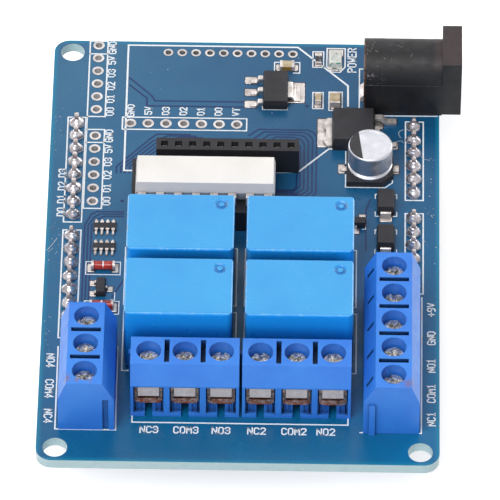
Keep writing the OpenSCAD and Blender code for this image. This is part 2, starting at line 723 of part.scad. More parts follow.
module block_cages(b) {
  n = b[3];
  color([0.62, 0.55, 0.5]) at_block(b) for (i = [0:n-1]) translate([pole_x(i, n), 0, cage_z]) difference() {
    cage();
    translate([-cage_w/2 - cut, cage_y - cut, entry_top - ceiling_gap - cage_z])
      cube([cage_w + 2*cut, cage_step_y - cage_y + cut, cage_h]);
    translate([0, pole_mid_y, cage_h - 1.5]) cylinder(h = 2, d = screw_shank_d + 2*screw_fit, $fn = 32);
  }
}

// Contact: lip in the mouth of the cage, plate under the screw's tip, leg behind the cage, solder pin.
contact_plate_z = cage_z + cage_h - cage_floor - contact_t - 0.2;
lip_z = cage_z + cage_floor + 0.35;                  // lower edge of the lip
lip_round = 0.15;

module contact() {
  t = contact_t;
  y0 = cage_y + 0.05;
  leg = contact_leg_y;
  z = contact_plate_z;
  low = lip_z;
  bent_strip([
    [y0, low + lip_round], [y0 + 0.3*lip_round, low + 0.3*lip_round], [y0 + lip_round, low],
    [y0 + t, low], [y0 + t, z], [leg, z], [leg, block_floor_h],
    [leg + t, block_floor_h], [leg + t, z + t - lip_round], [leg + t - lip_round, z + t],
    [y0 + lip_round, z + t], [y0, z + t - lip_round]
  ], contact_w);
  translate([0, leg + t/2, (block_floor_h - board_t - tail_below)/2])
    cube([contact_pin_w, t, block_floor_h + board_t + tail_below], center = true);
}

module block_contacts(b) {
  n = b[3];
  color([0.85, 0.82, 0.78]) at_block(b) for (i = [0:n-1]) translate([pole_x(i, n), 0, 0]) contact();
}

module screw() {
  top = block_h - screw_sink;
  head_h = screw_head_h;
  tip = contact_plate_z + contact_t;
  difference() {
    union() {
      translate([0, 0, top - head_h]) cylinder(h = head_h, d = screw_head_d, $fn = round_fn);
      translate([0, 0, tip]) cylinder(h = top - head_h - tip + cut, d = screw_shank_d, $fn = 32);
    }
    translate([0, 0, top]) cube([screw_head_d + 1, 0.55, 0.9], center = true);
    translate([0, 0, top]) cube([0.55, screw_head_d*0.62, 0.9], center = true);
  }
}

module block_screws(b) {
  n = b[3];
  color([0.8, 0.8, 0.76]) at_block(b) for (i = [0:n-1])
    translate([pole_x(i, n), pole_mid_y, 0]) rotate([0, 0, 35 + 50*i + b[0]*7]) screw();
}

// ---------- small parts ----------

// A lead that leaves a body at height z, bends down in an S and lands on the board,
// seen from the side in Y and Z.
function gull_wing(y0, z, reach, t) = let(
  n = 6,
  bend_y = y0 + 0.32*reach,
  bend_l = 0.3*reach,
  lean = 0.6*t,
  drop = [for (k = [0:n]) (z - t)*(1 + cos(180*k/n))/2]
) concat(
  [[y0, z]], [for (k = [0:n]) [bend_y + bend_l*k/n, t + drop[k]]],
  [[y0 + reach, t], [y0 + reach, 0]],
  [for (k = [n:-1:0]) [bend_y - lean + bend_l*k/n, drop[k]]], [[y0, z - t]]
);

small_reg = [4.24, 29.8];
small_reg_w = 3.6;
small_reg_l = 6.4;
small_reg_h = 1.7;
small_reg_belt = 0.9;
small_reg_lift = 0.05;                               // body above the board
small_reg_pitch = 2.3;
small_reg_tab_w = 3.0;

module small_regulator_body() {
  color([0.1, 0.1, 0.1]) on_board(small_reg) translate([0, 0, small_reg_lift])
    moulded_body(small_reg_w, small_reg_l, small_reg_h, small_reg_belt, 0.2);
}

module small_regulator_leads() {
  side_view = gull_wing(small_reg_w/2, small_reg_lift + small_reg_belt + 0.1, 1.75, 0.26);
  color([0.85, 0.85, 0.85]) on_board(small_reg) {
    for (i = [-1, 0, 1]) translate([0, i*small_reg_pitch, 0]) rotate([0, 0, 90])
      bent_strip(side_view, 0.75);
    rotate([0, 0, -90]) bent_strip(side_view, small_reg_tab_w);
  }
}

large_reg = [15.5, 22.1];
large_reg_w = 6.1;
large_reg_l = 6.6;
large_reg_h = 2.3;
large_reg_belt = 1.1;
heat_tab_t = 0.5;
heat_tab_w = 5.4;
heat_tab_out = 1.25;                                 // how far the tab reaches out of the body
heat_tab_in = 4.4;                                   // and into it
large_lead_t = 0.5;
large_lead_w = 0.85;

module large_regulator_body() {
  pocket = heat_tab_in + 0.05;
  color([0.14, 0.14, 0.15]) on_board(large_reg) difference() {
    moulded_body(large_reg_w, large_reg_l, large_reg_h, large_reg_belt, 0.25);
    translate([-large_reg_w/2 - cut, -heat_tab_w/2, -cut])
      cube([pocket + cut, heat_tab_w, heat_tab_t + cut]);
  }
}

module large_regulator_leads() {
  color([0.82, 0.82, 0.82]) on_board(large_reg) {
    // heat tab with clipped corners and a notch
    translate([-large_reg_w/2 - heat_tab_out, 0, 0]) linear_extrude(heat_tab_t) polygon([
      [0.55, -heat_tab_w/2], [heat_tab_out + heat_tab_in, -heat_tab_w/2],
      [heat_tab_out + heat_tab_in, heat_tab_w/2], [0.6, heat_tab_w/2], [0.1, 1.9], [0.1, 0.7],
      [0.4, 0.5], [0.4, -0.7], [0, -1], [0, -1.7]
    ]);
    for (i = [-1, 1]) translate([0, i*2.28, 0]) rotate([0, 0, -90])
      bent_strip(gull_wing(large_reg_w/2, large_reg_belt + large_lead_t/2, 3.1, large_lead_t), large_lead_w);
    // stub of the middle lead
    translate([large_reg_w/2 + 0.35, 0, large_reg_belt])
      cube([0.7, large_lead_w, large_lead_t], center = true);
  }
}

capacitor = [17.9, 15.15];
can_base_t = 1.1;
can_floor = 0.55;

module capacitor_can() {
  r = can_d/2;
  top = can_h;
  z0 = can_floor;
  round_r = 0.35;
  color([0.75, 0.76, 0.8]) on_board(capacitor) rotate_extrude($fn = 64) polygon(concat(
    [[0, z0], [r - 0.25, z0], [r - 0.05, z0 + 0.2], [r, z0 + 0.5], [r, z0 + 0.9]],
    [[r - 0.35, z0 + 1.2], [r - 0.35, z0 + 1.35], [r, z0 + 1.6]],
    [for (a = [0:22.5:90]) [r - round_r + round_r*cos(a), top - round_r + round_r*sin(a)]],
    [[r - 0.6, top], [r - 0.65, top - 0.06], [0, top - 0.06]]
  ));
}

module capacitor_base() {
  s = can_base/2;
  c = 1.5;
  color([0.09, 0.09, 0.1]) on_board(capacitor) difference() {
    linear_extrude(can_base_t) polygon([
      [-s, -s], [s - c, -s], [s, -s + c], [s, s - c], [s - c, s], [-s, s]
    ]);
    translate([0, 0, can_floor]) cylinder(h = 2, d = can_d + 0.06, $fn = 64);
    for (side = [-1, 1]) translate([side*(s - 1.2), 0, 0.15 - cut])
      cube([2.6, 0.9, 0.3 + 2*cut], center = true);
  }
}

module capacitor_tabs() {
  s = can_base/2;
  color([0.85, 0.85, 0.85]) on_board(capacitor) for (side = [-1, 1])
    translate([side*(s - 0.4), 0, 0.14]) cube([2.4, 0.85, 0.28], center = true);
}

power_diodes = [[right_lane_x, 8.2], [right_lane_x, 1.4]];
diode_w = 2.55;
diode_l = 3.9;
diode_h = 1.75;
diode_belt = 0.9;
diode_lift = 0.1;                                    // body above the board
diode_lead_t = 0.2;

module power_diode(i) {
  color([0.13, 0.13, 0.13]) on_board(power_diodes[i]) translate([0, 0, diode_lift])
    moulded_body(diode_w, diode_l, diode_h, diode_belt, 0.22);
}

// Leads that run down the ends and are folded under the body.
module power_diode_leads() {
  t = diode_lead_t;
  e = diode_l/2;
  z = diode_lift + diode_belt;
  color([0.85, 0.85, 0.85]) for (p = power_diodes) on_board(p) for (side = [0, 180]) rotate([0, 0, side])
    bent_strip([
      [e, z + t/2], [e + 0.15, z + t/2], [e + 0.3, z], [e + 0.45, 0], [e - 0.7, 0], [e - 0.7, diode_lift],
      [e - 0.11, diode_lift], [e + 0.2, 0.25], [e + 0.1, z - t/2], [e, z - t/2]
    ], 1.5);
}

// Small transistors: place and turn.
transistors = [[15.92, 4.65, -90], [left_lane_x - 0.2, -8.3, 0]];
transistor_w = 1.35;
transistor_l = 2.9;
transistor_lead_w = 0.42;

module transistor_bodies() {
  color([0.1, 0.1, 0.1]) for (t = transistors) on_board(t) rotate([0, 0, t[2]]) translate([0, 0, 0.05])
    moulded_body(transistor_w, transistor_l, 1.0, 0.5, 0.12);
}

module transistor_leads() {
  side_view = gull_wing(transistor_w/2, 0.6, 0.6, 0.12);
  color([0.85, 0.85, 0.85]) for (t = transistors) on_board(t) rotate([0, 0, t[2]]) {
    for (y = [-0.95, 0.95]) translate([0, y, 0]) rotate([0, 0, 90]) bent_strip(side_view, transistor_lead_w);
    rotate([0, 0, -90]) bent_strip(side_view, transistor_lead_w);
  }
}

array_spots = [[left_lane_x, 3.4], [left_lane_x, -0.45]];
array_pitch = 0.8;
array_l = 3.2;
array_w = 1.6;
array_h = 0.5;

// Four resistors in one chip, with notches between their ends.
module resistor_array(i) {
  color([0.1, 0.1, 0.11]) on_board(array_spots[i]) linear_extrude(array_h) difference() {
    square([array_l, array_w], center = true);
    for (x = [-1, 0, 1]) for (side = [-1, 1]) translate([x*array_pitch, side*array_w/2])
      circle(d = 0.34, $fn = 24);
  }
}

glass_spots = [[left_lane_x, -4.35], [left_lane_x, -11.75]];
glass_r = 0.62;
glass_cap_r = 0.68;
glass_l = 3.3;
glass_cap_l = 0.4;

// Glass diodes: a round body with a slightly thicker cap at each end.
module glass_diodes() {
  r = glass_r;
  cap = glass_cap_r;
  e = glass_l/2;
  c = e - glass_cap_l;
  color([0.8, 0.25, 0.15]) for (p = glass_spots) on_board(p) translate([0, 0, cap])
    rotate([0, 90, 0]) rotate_extrude($fn = 32) polygon([
      [0, -e], [r, -e], [cap, -e + 0.1], [cap, -c], [r, -c + 0.06],
      [r, c - 0.06], [cap, c], [cap, e - 0.1], [r, e], [0, e]
    ]);
}

power_lamp_spot = [12.78, 36.35];
lamp_base_l = 3.4;
lamp_base_h = 0.3;

// Lamp: a base with a half-round notch in each end, and a block of clear lens on it.
module power_lamp() {
  color([0.93, 0.95, 0.9]) on_board(power_lamp_spot) {
    linear_extrude(lamp_base_h) difference() {
      square([1.95, lamp_base_l], center = true);
      for (side = [-1, 1]) translate([0, side*lamp_base_l/2]) circle(d = 0.7, $fn = 24);
    }
    translate([0, 0, lamp_base_h - cut]) moulded_body(1.9, 2.7, 0.75 + cut, 0.05, 0.1);
  }
}

// Chip resistor and chip capacitors: place, size along X, Y and Z.
chips = [
  [10.37, 36.5, 0.85, 1.6, 0.45],
  [5.85, 35.03, 2.05, 1.3, 0.9],
  [10.39, 28.61, 0.85, 1.6, 0.8],
  [12.81, 28.28, 1.5, 2.05, 1.1]
];

module chip_parts() {
  color([0.72, 0.62, 0.48]) for (c = chips) on_board(c) soft_box(c[2], c[3], c[4], 0.08);
}

pcb();
hole_linings();
header_solder();
underside_solder();
header_strip(pins_left_rear);  // header_strip_left_rear
header_strip(pins_left_front);  // header_strip_left_front
header_strip(pins_right_rear);  // header_strip_right_rear
header_strip(pins_right_front);  // header_strip_right_front
header_pins(pins_left_rear);  // header_pins_left_rear
header_pins(pins_left_front);  // header_pins_left_front
header_pins(pins_right_rear);  // header_pins_right_rear
header_pins(pins_right_front);  // header_pins_right_front
radio_socket_body();
radio_socket_contacts();
isolator_socket_body();
isolator_socket_contacts();
isolator_body();
isolator_leads();
jack_housing();
jack_centre_pin();
jack_spring();
jack_switch_contact();
relay(0);  // relay_1
relay(1);  // relay_2
relay(2);  // relay_3
relay(3);  // relay_4
relay_pins();
block_housing(block_front_left);  // block_front_left_housing
block_cages(block_front_left);  // block_front_left_cages
block_contacts(block_front_left);  // block_front_left_contacts
block_screws(block_front_left);  // block_front_left_screws
block_housing(block_front_right);  // block_front_right_housing
block_cages(block_front_right);  // block_front_right_cages
block_contacts(block_front_right);  // block_front_right_contacts
block_screws(block_front_right);  // block_front_right_screws
block_housing(block_left);  // block_left_housing
block_cages(block_left);  // block_left_cages
block_contacts(block_left);  // block_left_contacts
block_screws(block_left);  // block_left_screws
block_housing(block_right, slits = true);  // block_right_housing
block_cages(block_right);  // block_right_cages
block_contacts(block_right);  // block_right_contacts
block_screws(block_right);  // block_right_screws
small_regulator_body();
small_regulator_leads();
large_regulator_body();
large_regulator_leads();
capacitor_can();
capacitor_base();
capacitor_tabs();
power_diode(0);  // power_diode_1
power_diode(1);  // power_diode_2
power_diode_leads();
transistor_bodies();
transistor_leads();
resistor_array(0);  // resistor_array_1
resistor_array(1);  // resistor_array_2
glass_diodes();
power_lamp();
chip_parts();
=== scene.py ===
"""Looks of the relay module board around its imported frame.

Adds the print, traces, pads and solder, then the materials, the camera and the light.
Lengths are in millimetres, taken from the middle of the board's top, and scaled to metres last.
"""

import json
import math
import random

import bpy
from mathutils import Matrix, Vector


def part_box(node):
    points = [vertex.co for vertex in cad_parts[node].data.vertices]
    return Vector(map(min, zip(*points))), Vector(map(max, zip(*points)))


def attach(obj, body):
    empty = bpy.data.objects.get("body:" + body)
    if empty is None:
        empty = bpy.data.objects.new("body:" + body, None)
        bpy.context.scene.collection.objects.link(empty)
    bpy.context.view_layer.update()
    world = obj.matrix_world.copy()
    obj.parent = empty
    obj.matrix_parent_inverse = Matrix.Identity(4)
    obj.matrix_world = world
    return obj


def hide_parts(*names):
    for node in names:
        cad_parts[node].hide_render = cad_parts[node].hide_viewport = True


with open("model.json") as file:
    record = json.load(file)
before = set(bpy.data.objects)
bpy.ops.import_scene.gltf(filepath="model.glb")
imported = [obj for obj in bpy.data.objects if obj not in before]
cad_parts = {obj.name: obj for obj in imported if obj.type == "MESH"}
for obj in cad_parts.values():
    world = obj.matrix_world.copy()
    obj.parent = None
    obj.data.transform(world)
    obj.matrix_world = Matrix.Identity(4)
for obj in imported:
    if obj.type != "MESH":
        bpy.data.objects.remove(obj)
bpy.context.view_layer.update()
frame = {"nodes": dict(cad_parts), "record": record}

MM = 0.001
NODES = frame["nodes"]


# ---------- places on the board, in millimetres from its middle ----------

board_lo, board_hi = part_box("pcb")
BOARD_X = (board_lo.x + board_hi.x) / 2 / MM
BOARD_Y = (board_lo.y + board_hi.y) / 2 / MM
TOP = board_hi.z / MM
HALF_W = (board_hi.x - board_lo.x) / 2 / MM
HALF_L = (board_hi.y - board_lo.y) / 2 / MM
PITCH = 2.54    # of the header pins


def box_of(node):
    """(left, front, right, rear, foot, top) of a CAD node, in board millimetres."""
    lo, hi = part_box(node)
    return (lo.x / MM - BOARD_X, lo.y / MM - BOARD_Y, hi.x / MM - BOARD_X, hi.y / MM - BOARD_Y,
            lo.z / MM - TOP, hi.z / MM - TOP)


def vertex(x, y, height):
    """A mesh point in metres from board millimetres, height being above the board's top."""
    return (x + BOARD_X) * MM, (y + BOARD_Y) * MM, (TOP + height) * MM


# ---------- materials ----------

def rgb(red, green_glint, blue):
    """A colour given as it shows on a screen, 0 to 255, as the shader wants it."""
    def linear(value):
        value /= 255
        return value / 12.92 if value <= 0.04045 else ((value + 0.055) / 1.055) ** 2.4
    return (linear(red), linear(green_glint), linear(blue), 1.0)


class Nodes:
    """Short calls for building a tree of shader nodes."""

    def __init__(self, tree):
        self.tree = tree

    def add(self, kind, **settings):
        node = self.tree.nodes.new(kind)
        for name, value in settings.items():
            setattr(node, name, value)
        return node

    def put(self, socket, value):
        """Link value to the socket if it is another node's output, or else set it."""
        if isinstance(value, bpy.types.NodeSocket):
            self.tree.links.new(value, socket)
        else:
            socket.default_value = value

    def math(self, operation, *values):
        node = self.add("ShaderNodeMath", operation=operation)
        for socket, value in zip(node.inputs, values):
            self.put(socket, value)
        return node.outputs[0]

    def both(self, first, *others):
        """The product of several shares, each from 0 to 1."""
        for other in others:
            first = self.math("MULTIPLY", first, other)
        return first

    def between(self, value, low, high, out_low=0.0, out_high=1.0):
        """value taken from the range low..high to out_low..out_high, and held there."""
        node = self.add("ShaderNodeMapRange")
        for name, number in (("Value", value), ("From Min", low), ("From Max", high),
                             ("To Min", out_low), ("To Max", out_high)):
            self.put(node.inputs[name], number)
        return node.outputs[0]


class Paint(Nodes):
    """One procedural material, with short calls for the nodes it is made of."""

    def __init__(self, name, **sockets):
        self.material = bpy.data.materials.new(name)
        self.material.use_nodes = True
        super().__init__(self.material.node_tree)
        self.shader = self.tree.nodes["Principled BSDF"]
        coords = self.add("ShaderNodeTexCoord")
        to_mm = self.add("ShaderNodeVectorMath", operation="SCALE")
        self.put(to_mm.inputs[0], coords.outputs["Object"])
        self.put(to_mm.inputs["Scale"], 1 / MM)
        self.place = to_mm.outputs[0]
        self.bumps = None
        for socket, value in sockets.items():
            self.put(self.shader.inputs[socket.replace("_", " ")], value)

    def noise(self, size, detail=3.0, roughness=0.5, stretch=None, distortion=0.0):
        """Noise of about 0 to 1 whose grains are size millimetres across."""
        place = self.place
        if stretch:
            scaled = self.add("ShaderNodeVectorMath", operation="MULTIPLY")
            self.put(scaled.inputs[0], place)
            self.put(scaled.inputs[1], stretch)
            place = scaled.outputs[0]
        node = self.add("ShaderNodeTexNoise")
        for name, value in (("Vector", place), ("Scale", 1 / size), ("Detail", detail),
                            ("Roughness", roughness), ("Distortion", distortion)):
            self.put(node.inputs[name], value)
        return node.outputs["Fac"]

    def mix(self, share, first, second):
        """The first colour where share is 0 and the second where it is 1."""
        node = self.add("ShaderNodeMix", data_type="RGBA")
        self.put(node.inputs["Factor"], share)
        sockets = [s for s in node.inputs if s.type == "RGBA"]
        self.put(sockets[0], first)
        self.put(sockets[1], second)
        return next(s for s in node.outputs if s.type == "RGBA")

    def axis(self, name):
        """Place along X, Y or Z in the part's frame, in millimetres."""
        node = self.add("ShaderNodeSeparateXYZ")
        self.put(node.inputs[0], self.place)
        return node.outputs[name]

    def facing(self, name):
        """How far a face looks along X, Y or Z, from -1 to 1."""
        geometry = self.add("ShaderNodeNewGeometry")
        node = self.add("ShaderNodeSeparateXYZ")
        self.put(node.inputs[0], geometry.outputs["True Normal"])
        return node.outputs[name]

    def near(self, x, y, z, reach):
        """1 at a spot given in board millimetres, fading to 0 at reach millimetres from it."""
        node = self.add("ShaderNodeVectorMath", operation="DISTANCE")
        self.put(node.inputs[0], self.place)
        self.put(node.inputs[1], (x + BOARD_X, y + BOARD_Y, z + TOP))
        return self.between(node.outputs["Value"], reach, reach * 0.2)

    def sky(self, reach, low=0.15, high=0.8, own=False):
        """How open a spot is to the light, from 0 to 1, looking reach millimetres around."""
        node = self.add("ShaderNodeAmbientOcclusion", samples=6, only_local=own)
        self.put(node.inputs["Distance"], reach * MM)
        return self.between(node.outputs["AO"], low, high)

    def soften(self, radius):
        """Rounds the shading of sharp edges by radius millimetres."""
        node = self.add("ShaderNodeBevel", samples=4)
        self.put(node.inputs["Radius"], radius * MM)
        self.bumps = node.outputs[0]
        self.put(self.shader.inputs["Normal"], self.bumps)

    def bump(self, height, depth):
        """Relief of depth millimetres where height is 1."""
        node = self.add("ShaderNodeBump")
        self.put(node.inputs["Strength"], 1.0)
        self.put(node.inputs["Distance"], depth * MM)
        self.put(node.inputs["Height"], height)
        if self.bumps is not None:
            self.put(node.inputs["Normal"], self.bumps)
        self.bumps = node.outputs[0]
        self.put(self.shader.inputs["Normal"], self.bumps)

    def color(self, value):
        self.put(self.shader.inputs["Base Color"], value)

    def rough(self, low, high, size, detail=3):
        """Roughness that wanders from low to high over patches size millimetres across."""
        self.put(self.shader.inputs["Roughness"], self.between(self.noise(size, detail), 0.3, 0.7, low, high))


def plastic(name, color, dark, roughness, grain=0.5, shade=None, shine=0.5, front=None):
    """Moulded plastic: fine grain, soft blotches of tone and slightly rounded edges.

    shade, as (colour, reach), is painted shade: the colour painted into narrow gaps and the distance over
    which it sets in.
    front is painted shade: the darker tone painted on faces that look to the front.
    """
    paint = Paint(name, Specular_IOR_Level=shine)
    tone = paint.between(paint.noise(6.0, 4), 0.35, 0.7)
    full = paint.mix(tone, color, dark)
    if front:
        # painted shade: faces that look to the front are darkened
        full = paint.mix(paint.between(paint.facing("Y"), -0.3, -0.9), full, front)
    if shade:
        # painted shade: narrow gaps darkened by how little light reaches them
        full = paint.mix(paint.sky(shade[1]), shade[0], full)
    paint.color(full)
    paint.rough(roughness - 0.06, roughness + 0.08, grain * 3)
    paint.soften(0.12)
    paint.bump(paint.noise(grain, 4), 0.01)
    return paint


def metal(name, color, dark, roughness, metallic=1.0, grain=0.35, relief=0.02, blotch=1.2, shade=None):
    """Plated or tinned metal with uneven tone, small dents and, with shade, painted shade in its corners and
    where it meets other parts.
    """
    paint = Paint(name, Metallic=metallic)
    tone = paint.between(paint.noise(blotch, 5, 0.6), 0.35, 0.65)
    full = paint.mix(tone, color, dark)
    if shade:
        # painted shade: corners and joins darkened by how little light reaches them
        full = paint.mix(paint.sky(shade[1], 0.2, 0.75), shade[0], full)
    paint.color(full)
    paint.rough(roughness - 0.1, roughness + 0.12, blotch)
    paint.soften(0.05)
    paint.bump(paint.noise(grain, 4), relief)
    return paint


def board_paint():
    """Blue solder mask over glass laminate: gloss on the faces, a painted sheen that pales the rear left of
    the top, and pale layers on the cut edge.
    """
    paint = Paint("board_mask", Specular_IOR_Level=0.32)
    x, y = paint.axis("X"), paint.axis("Y")
    # painted reflection: the top runs from pale at the rear left, as if mirroring the bright panel, to dark
    # at the rear right and teal at the front
    right = paint.between(x, BOARD_X - HALF_W, BOARD_X + HALF_W)
    rear = paint.between(y, -HALF_L, HALF_L)
    painted_sheen_rear = paint.mix(right, rgb(56, 108, 142), rgb(10, 70, 110))
    painted_sheen_front = paint.mix(right, rgb(0, 92, 136), rgb(0, 106, 154))
    field = paint.mix(rear, painted_sheen_front, painted_sheen_rear)
    field = paint.mix(paint.between(paint.noise(9, 3), 0.35, 0.75, 0, 0.45), field, rgb(26, 78, 122))
    # no copper under the mask along the outline, so light comes through the laminate there
    off_middle = paint.math("ABSOLUTE", paint.math("SUBTRACT", x, BOARD_X))
    from_side = paint.math("SUBTRACT", HALF_W, off_middle)
    from_end = paint.math("SUBTRACT", HALF_L, paint.math("ABSOLUTE", y))
    rim = paint.between(paint.math("MINIMUM", from_side, from_end), 0.75, 0.1)
    field = paint.mix(rim, field, rgb(18, 122, 158))
    layers = paint.mix(paint.noise(0.12, 3, stretch=(0.3, 0.3, 4)), rgb(150, 190, 200), rgb(205, 222, 224))
    face = paint.math("ABSOLUTE", paint.facing("Z"))
    paint.color(paint.mix(paint.between(face, 0.4, 0.6), layers, field))
    paint.rough(0.24, 0.36, 2.5)
    paint.bump(paint.noise(0.9, 4), 0.012)
    return paint


def trace_paint():
    """Solder mask over a copper line, a shade darker than the field beside it."""
    paint = Paint("board_traces", Specular_IOR_Level=0.32, Roughness=0.3)
    paint.color(paint.mix(paint.noise(3.0, 3), rgb(8, 40, 90), rgb(18, 52, 102)))
    paint.bump(paint.noise(0.6, 3), 0.01)
    return paint


def ink_paint():
    """White printing ink, slightly uneven and worn through in places."""
    paint = Paint("white_ink", Roughness=0.55)
    wear = paint.between(paint.noise(0.22, 4, 0.65), 0.62, 0.78)
    paint.color(paint.mix(wear, rgb(238, 242, 246), rgb(160, 182, 202)))
    paint.bump(paint.noise(0.15, 3), 0.008)
    return paint


# brown smudges on the ridges of the side terminals: x, y, z and reach
SMUDGES = ((23.35, -33.2, 9.5, 1.1), (22.4, -33.3, 9.6, 0.7),
           (-23.6, -33.1, 9.4, 1.1), (-22.0, -33.4, 9.6, 0.8), (-20.4, -33.4, 9.6, 0.9))


def block_paint():
    """Blue terminal plastic with painted shade in its narrow slots and wells."""
    paint = Paint("block_blue")
    tone = paint.between(paint.noise(6.0, 4), 0.35, 0.7)
    blue = paint.mix(tone, rgb(56, 134, 230), rgb(48, 122, 222))
    dirt = paint.between(paint.noise(0.6, 4, 0.6), 0.42, 0.58)
    for x, y, z, reach in SMUDGES:
        blue = paint.mix(paint.both(paint.near(x, y, z, reach), dirt), blue, rgb(132, 96, 104))
    specks = paint.between(paint.noise(0.35, 5, 0.75), 0.66, 0.74)
    dusty = paint.both(specks, paint.between(paint.noise(4.0, 2), 0.5, 0.6), 0.35)
    blue = paint.mix(dusty, blue, rgb(190, 205, 235))
    # painted shade: slots and wells darkened by how little light reaches them
    paint.color(paint.mix(paint.sky(2.2, own=True), rgb(10, 26, 60), blue))
    paint.rough(0.36, 0.48, 1.5)
    paint.soften(0.12)
    paint.bump(paint.noise(0.5, 4), 0.01)
    return paint


def relay_paint():
    """Light blue relay case with rubbed and soiled edges, painted shade in its gaps and in the moulding mark,
    and a painted bluer tone on the faces that look to the front.
    """
    paint = Paint("relay_blue")
    z = paint.axis("Z")
    tone = paint.mix(paint.between(paint.noise(7.0, 4), 0.35, 0.7), rgb(62, 166, 230), rgb(56, 158, 225))
    # painted light: faces that look to the front get their own bluer tone, apart from the top's, for how the
    # light falls on them
    tone = paint.mix(paint.between(paint.facing("Y"), -0.3, -0.9), tone, rgb(30, 162, 248))
    level = box_of("relay_1")[5] + TOP
    # painted shadow: the flat floor of the moulding mark's dish is darkened
    flat = paint.between(paint.facing("Z"), 0.93, 0.97)
    painted_dish_shade = paint.both(flat, paint.between(z, level - 0.06, level - 0.12), 0.7)
    tone = paint.mix(painted_dish_shade, tone, rgb(10, 92, 168))
    rim = paint.both(paint.between(z, level - 0.45, level - 0.1), paint.between(paint.facing("Z"), 0.97, 0.9))
    rubbed = paint.both(rim, paint.between(paint.noise(0.8, 5, 0.7), 0.52, 0.66), 0.5)
    tone = paint.mix(rubbed, tone, rgb(150, 205, 240))
    left_top = paint.both(paint.between(z, level - 2.6, level - 0.2),
                          paint.between(paint.facing("X"), -0.25, -0.7))
    soiled = paint.both(left_top, paint.between(paint.noise(0.9, 4, 0.6), 0.45, 0.62), 0.5)
    tone = paint.mix(soiled, tone, rgb(146, 122, 104))
    # painted shade: the case darkens where its neighbours close it in
    paint.color(paint.mix(paint.sky(7.0, 0.1, 0.46), rgb(4, 60, 128), tone))
    paint.rough(0.26, 0.36, 1.5)
    paint.soften(0.12)
    paint.bump(paint.noise(0.5, 4), 0.006)
    return paint


def cage_paint():
    """Plated clamp cage: copper-brown inside and on the worn rim, with bright flecks."""
    paint = Paint("cage_metal", Metallic=1.0)
    worn = paint.between(paint.noise(0.7, 5, 0.65), 0.42, 0.6)
    flecks = paint.between(paint.noise(0.22, 4, 0.6), 0.6, 0.7)
    low = paint.between(paint.axis("Z"), TOP + 3.7, TOP + 3.0)
    copper = paint.mix(low, rgb(120, 92, 84), rgb(184, 84, 50))
    color = paint.mix(worn, copper, rgb(206, 176, 160))
    paint.color(paint.mix(flecks, color, rgb(236, 226, 214)))
    paint.rough(0.25, 0.5, 0.5)
    paint.soften(0.06)
    paint.bump(paint.noise(0.3, 4), 0.03)
    return paint


SEAM_X = 19.15      # line round the jack's barrel
FLANGE_X = 26.6     # start of the square end of the jack


def jack_paint():
    """Black jack plastic with pale scuffs and a browned rear edge."""
    paint = Paint("jack_black", Specular_IOR_Level=0.4)
    x, z = paint.axis("X"), paint.axis("Z")
    tone = paint.mix(paint.between(paint.noise(5, 4), 0.35, 0.7), rgb(16, 16, 19), rgb(25, 25, 29))
    # a curved scratch runs where a soft noise crosses its middle value
    swirl = paint.math("ABSOLUTE", paint.math("SUBTRACT", paint.noise(1.7, 1, distortion=0.6), 0.5))
    broken = paint.between(paint.noise(0.35, 4, 0.7), 0.45, 0.6)
    lines = paint.both(paint.between(swirl, 0.012, 0.004), broken)
    before_flange = paint.between(x, BOARD_X + FLANGE_X, BOARD_X + FLANGE_X - 0.4)
    zone = paint.both(paint.between(paint.noise(2.6, 3), 0.5, 0.58), before_flange)
    scuffs = paint.both(lines, zone, paint.between(z, TOP + 5.0, TOP + 6.5), 0.8)
    tone = paint.mix(scuffs, tone, rgb(150, 145, 145))
    flange_top = paint.both(paint.between(x, BOARD_X + FLANGE_X, BOARD_X + FLANGE_X + 0.8),
                            paint.between(paint.facing("Z"), 0.5, 0.9), 0.6)
    tone = paint.mix(flange_top, tone, rgb(64, 50, 50))
    off_seam = paint.math("ABSOLUTE", paint.math("SUBTRACT", x, BOARD_X + SEAM_X))
    tone = paint.mix(paint.between(off_seam, 0.09, 0.04), tone, rgb(6, 6, 7))
    # ragged brown line round the edge of the inner end
    inner_edge = paint.both(paint.between(x, BOARD_X + 17.2, BOARD_X + 16.98),
                            paint.between(paint.facing("X"), -0.98, -0.7))
    brown = paint.both(inner_edge, paint.between(paint.noise(0.6, 4), 0.42, 0.56))
    tone = paint.mix(brown, tone, rgb(112, 78, 60))
    paint.color(tone)
    paint.rough(0.4, 0.6, 1.2, 4)
    paint.soften(0.12)
    paint.bump(paint.noise(0.45, 5, 0.6), 0.014)
    return paint


def screw_paint():
    """Crumpled bright plating of the clamp screws."""
    paint = Paint("screw_metal", Metallic=1.0)
    folds = paint.noise(0.55, 5, 0.65, distortion=0.8)
    paint.color(paint.mix(paint.between(folds, 0.4, 0.6), rgb(140, 136, 130), rgb(236, 233, 226)))
    paint.rough(0.2, 0.42, 0.4)
    paint.soften(0.08)
    paint.bump(folds, 0.14)
    return paint


def glass_paint():
    """Red glass of the diodes, streaked along its length, with a pale dash."""
    paint = Paint("glass_red")
    streaks = paint.noise(0.5, 4, 0.6, stretch=(0.4, 1, 1))
    red = paint.mix(paint.between(streaks, 0.35, 0.65), rgb(206, 58, 44), rgb(128, 26, 22))
    x = paint.axis("X")
    dash = paint.both(paint.between(x, BOARD_X - 19.62, BOARD_X - 19.6),
                      paint.between(x, BOARD_X - 19.38, BOARD_X - 19.4),
                      paint.between(paint.facing("Z"), 0.3, 0.5))
    paint.color(paint.mix(dash, red, rgb(235, 215, 212)))
    paint.rough(0.12, 0.22, 0.8)
    paint.bump(streaks, 0.01)
    return paint


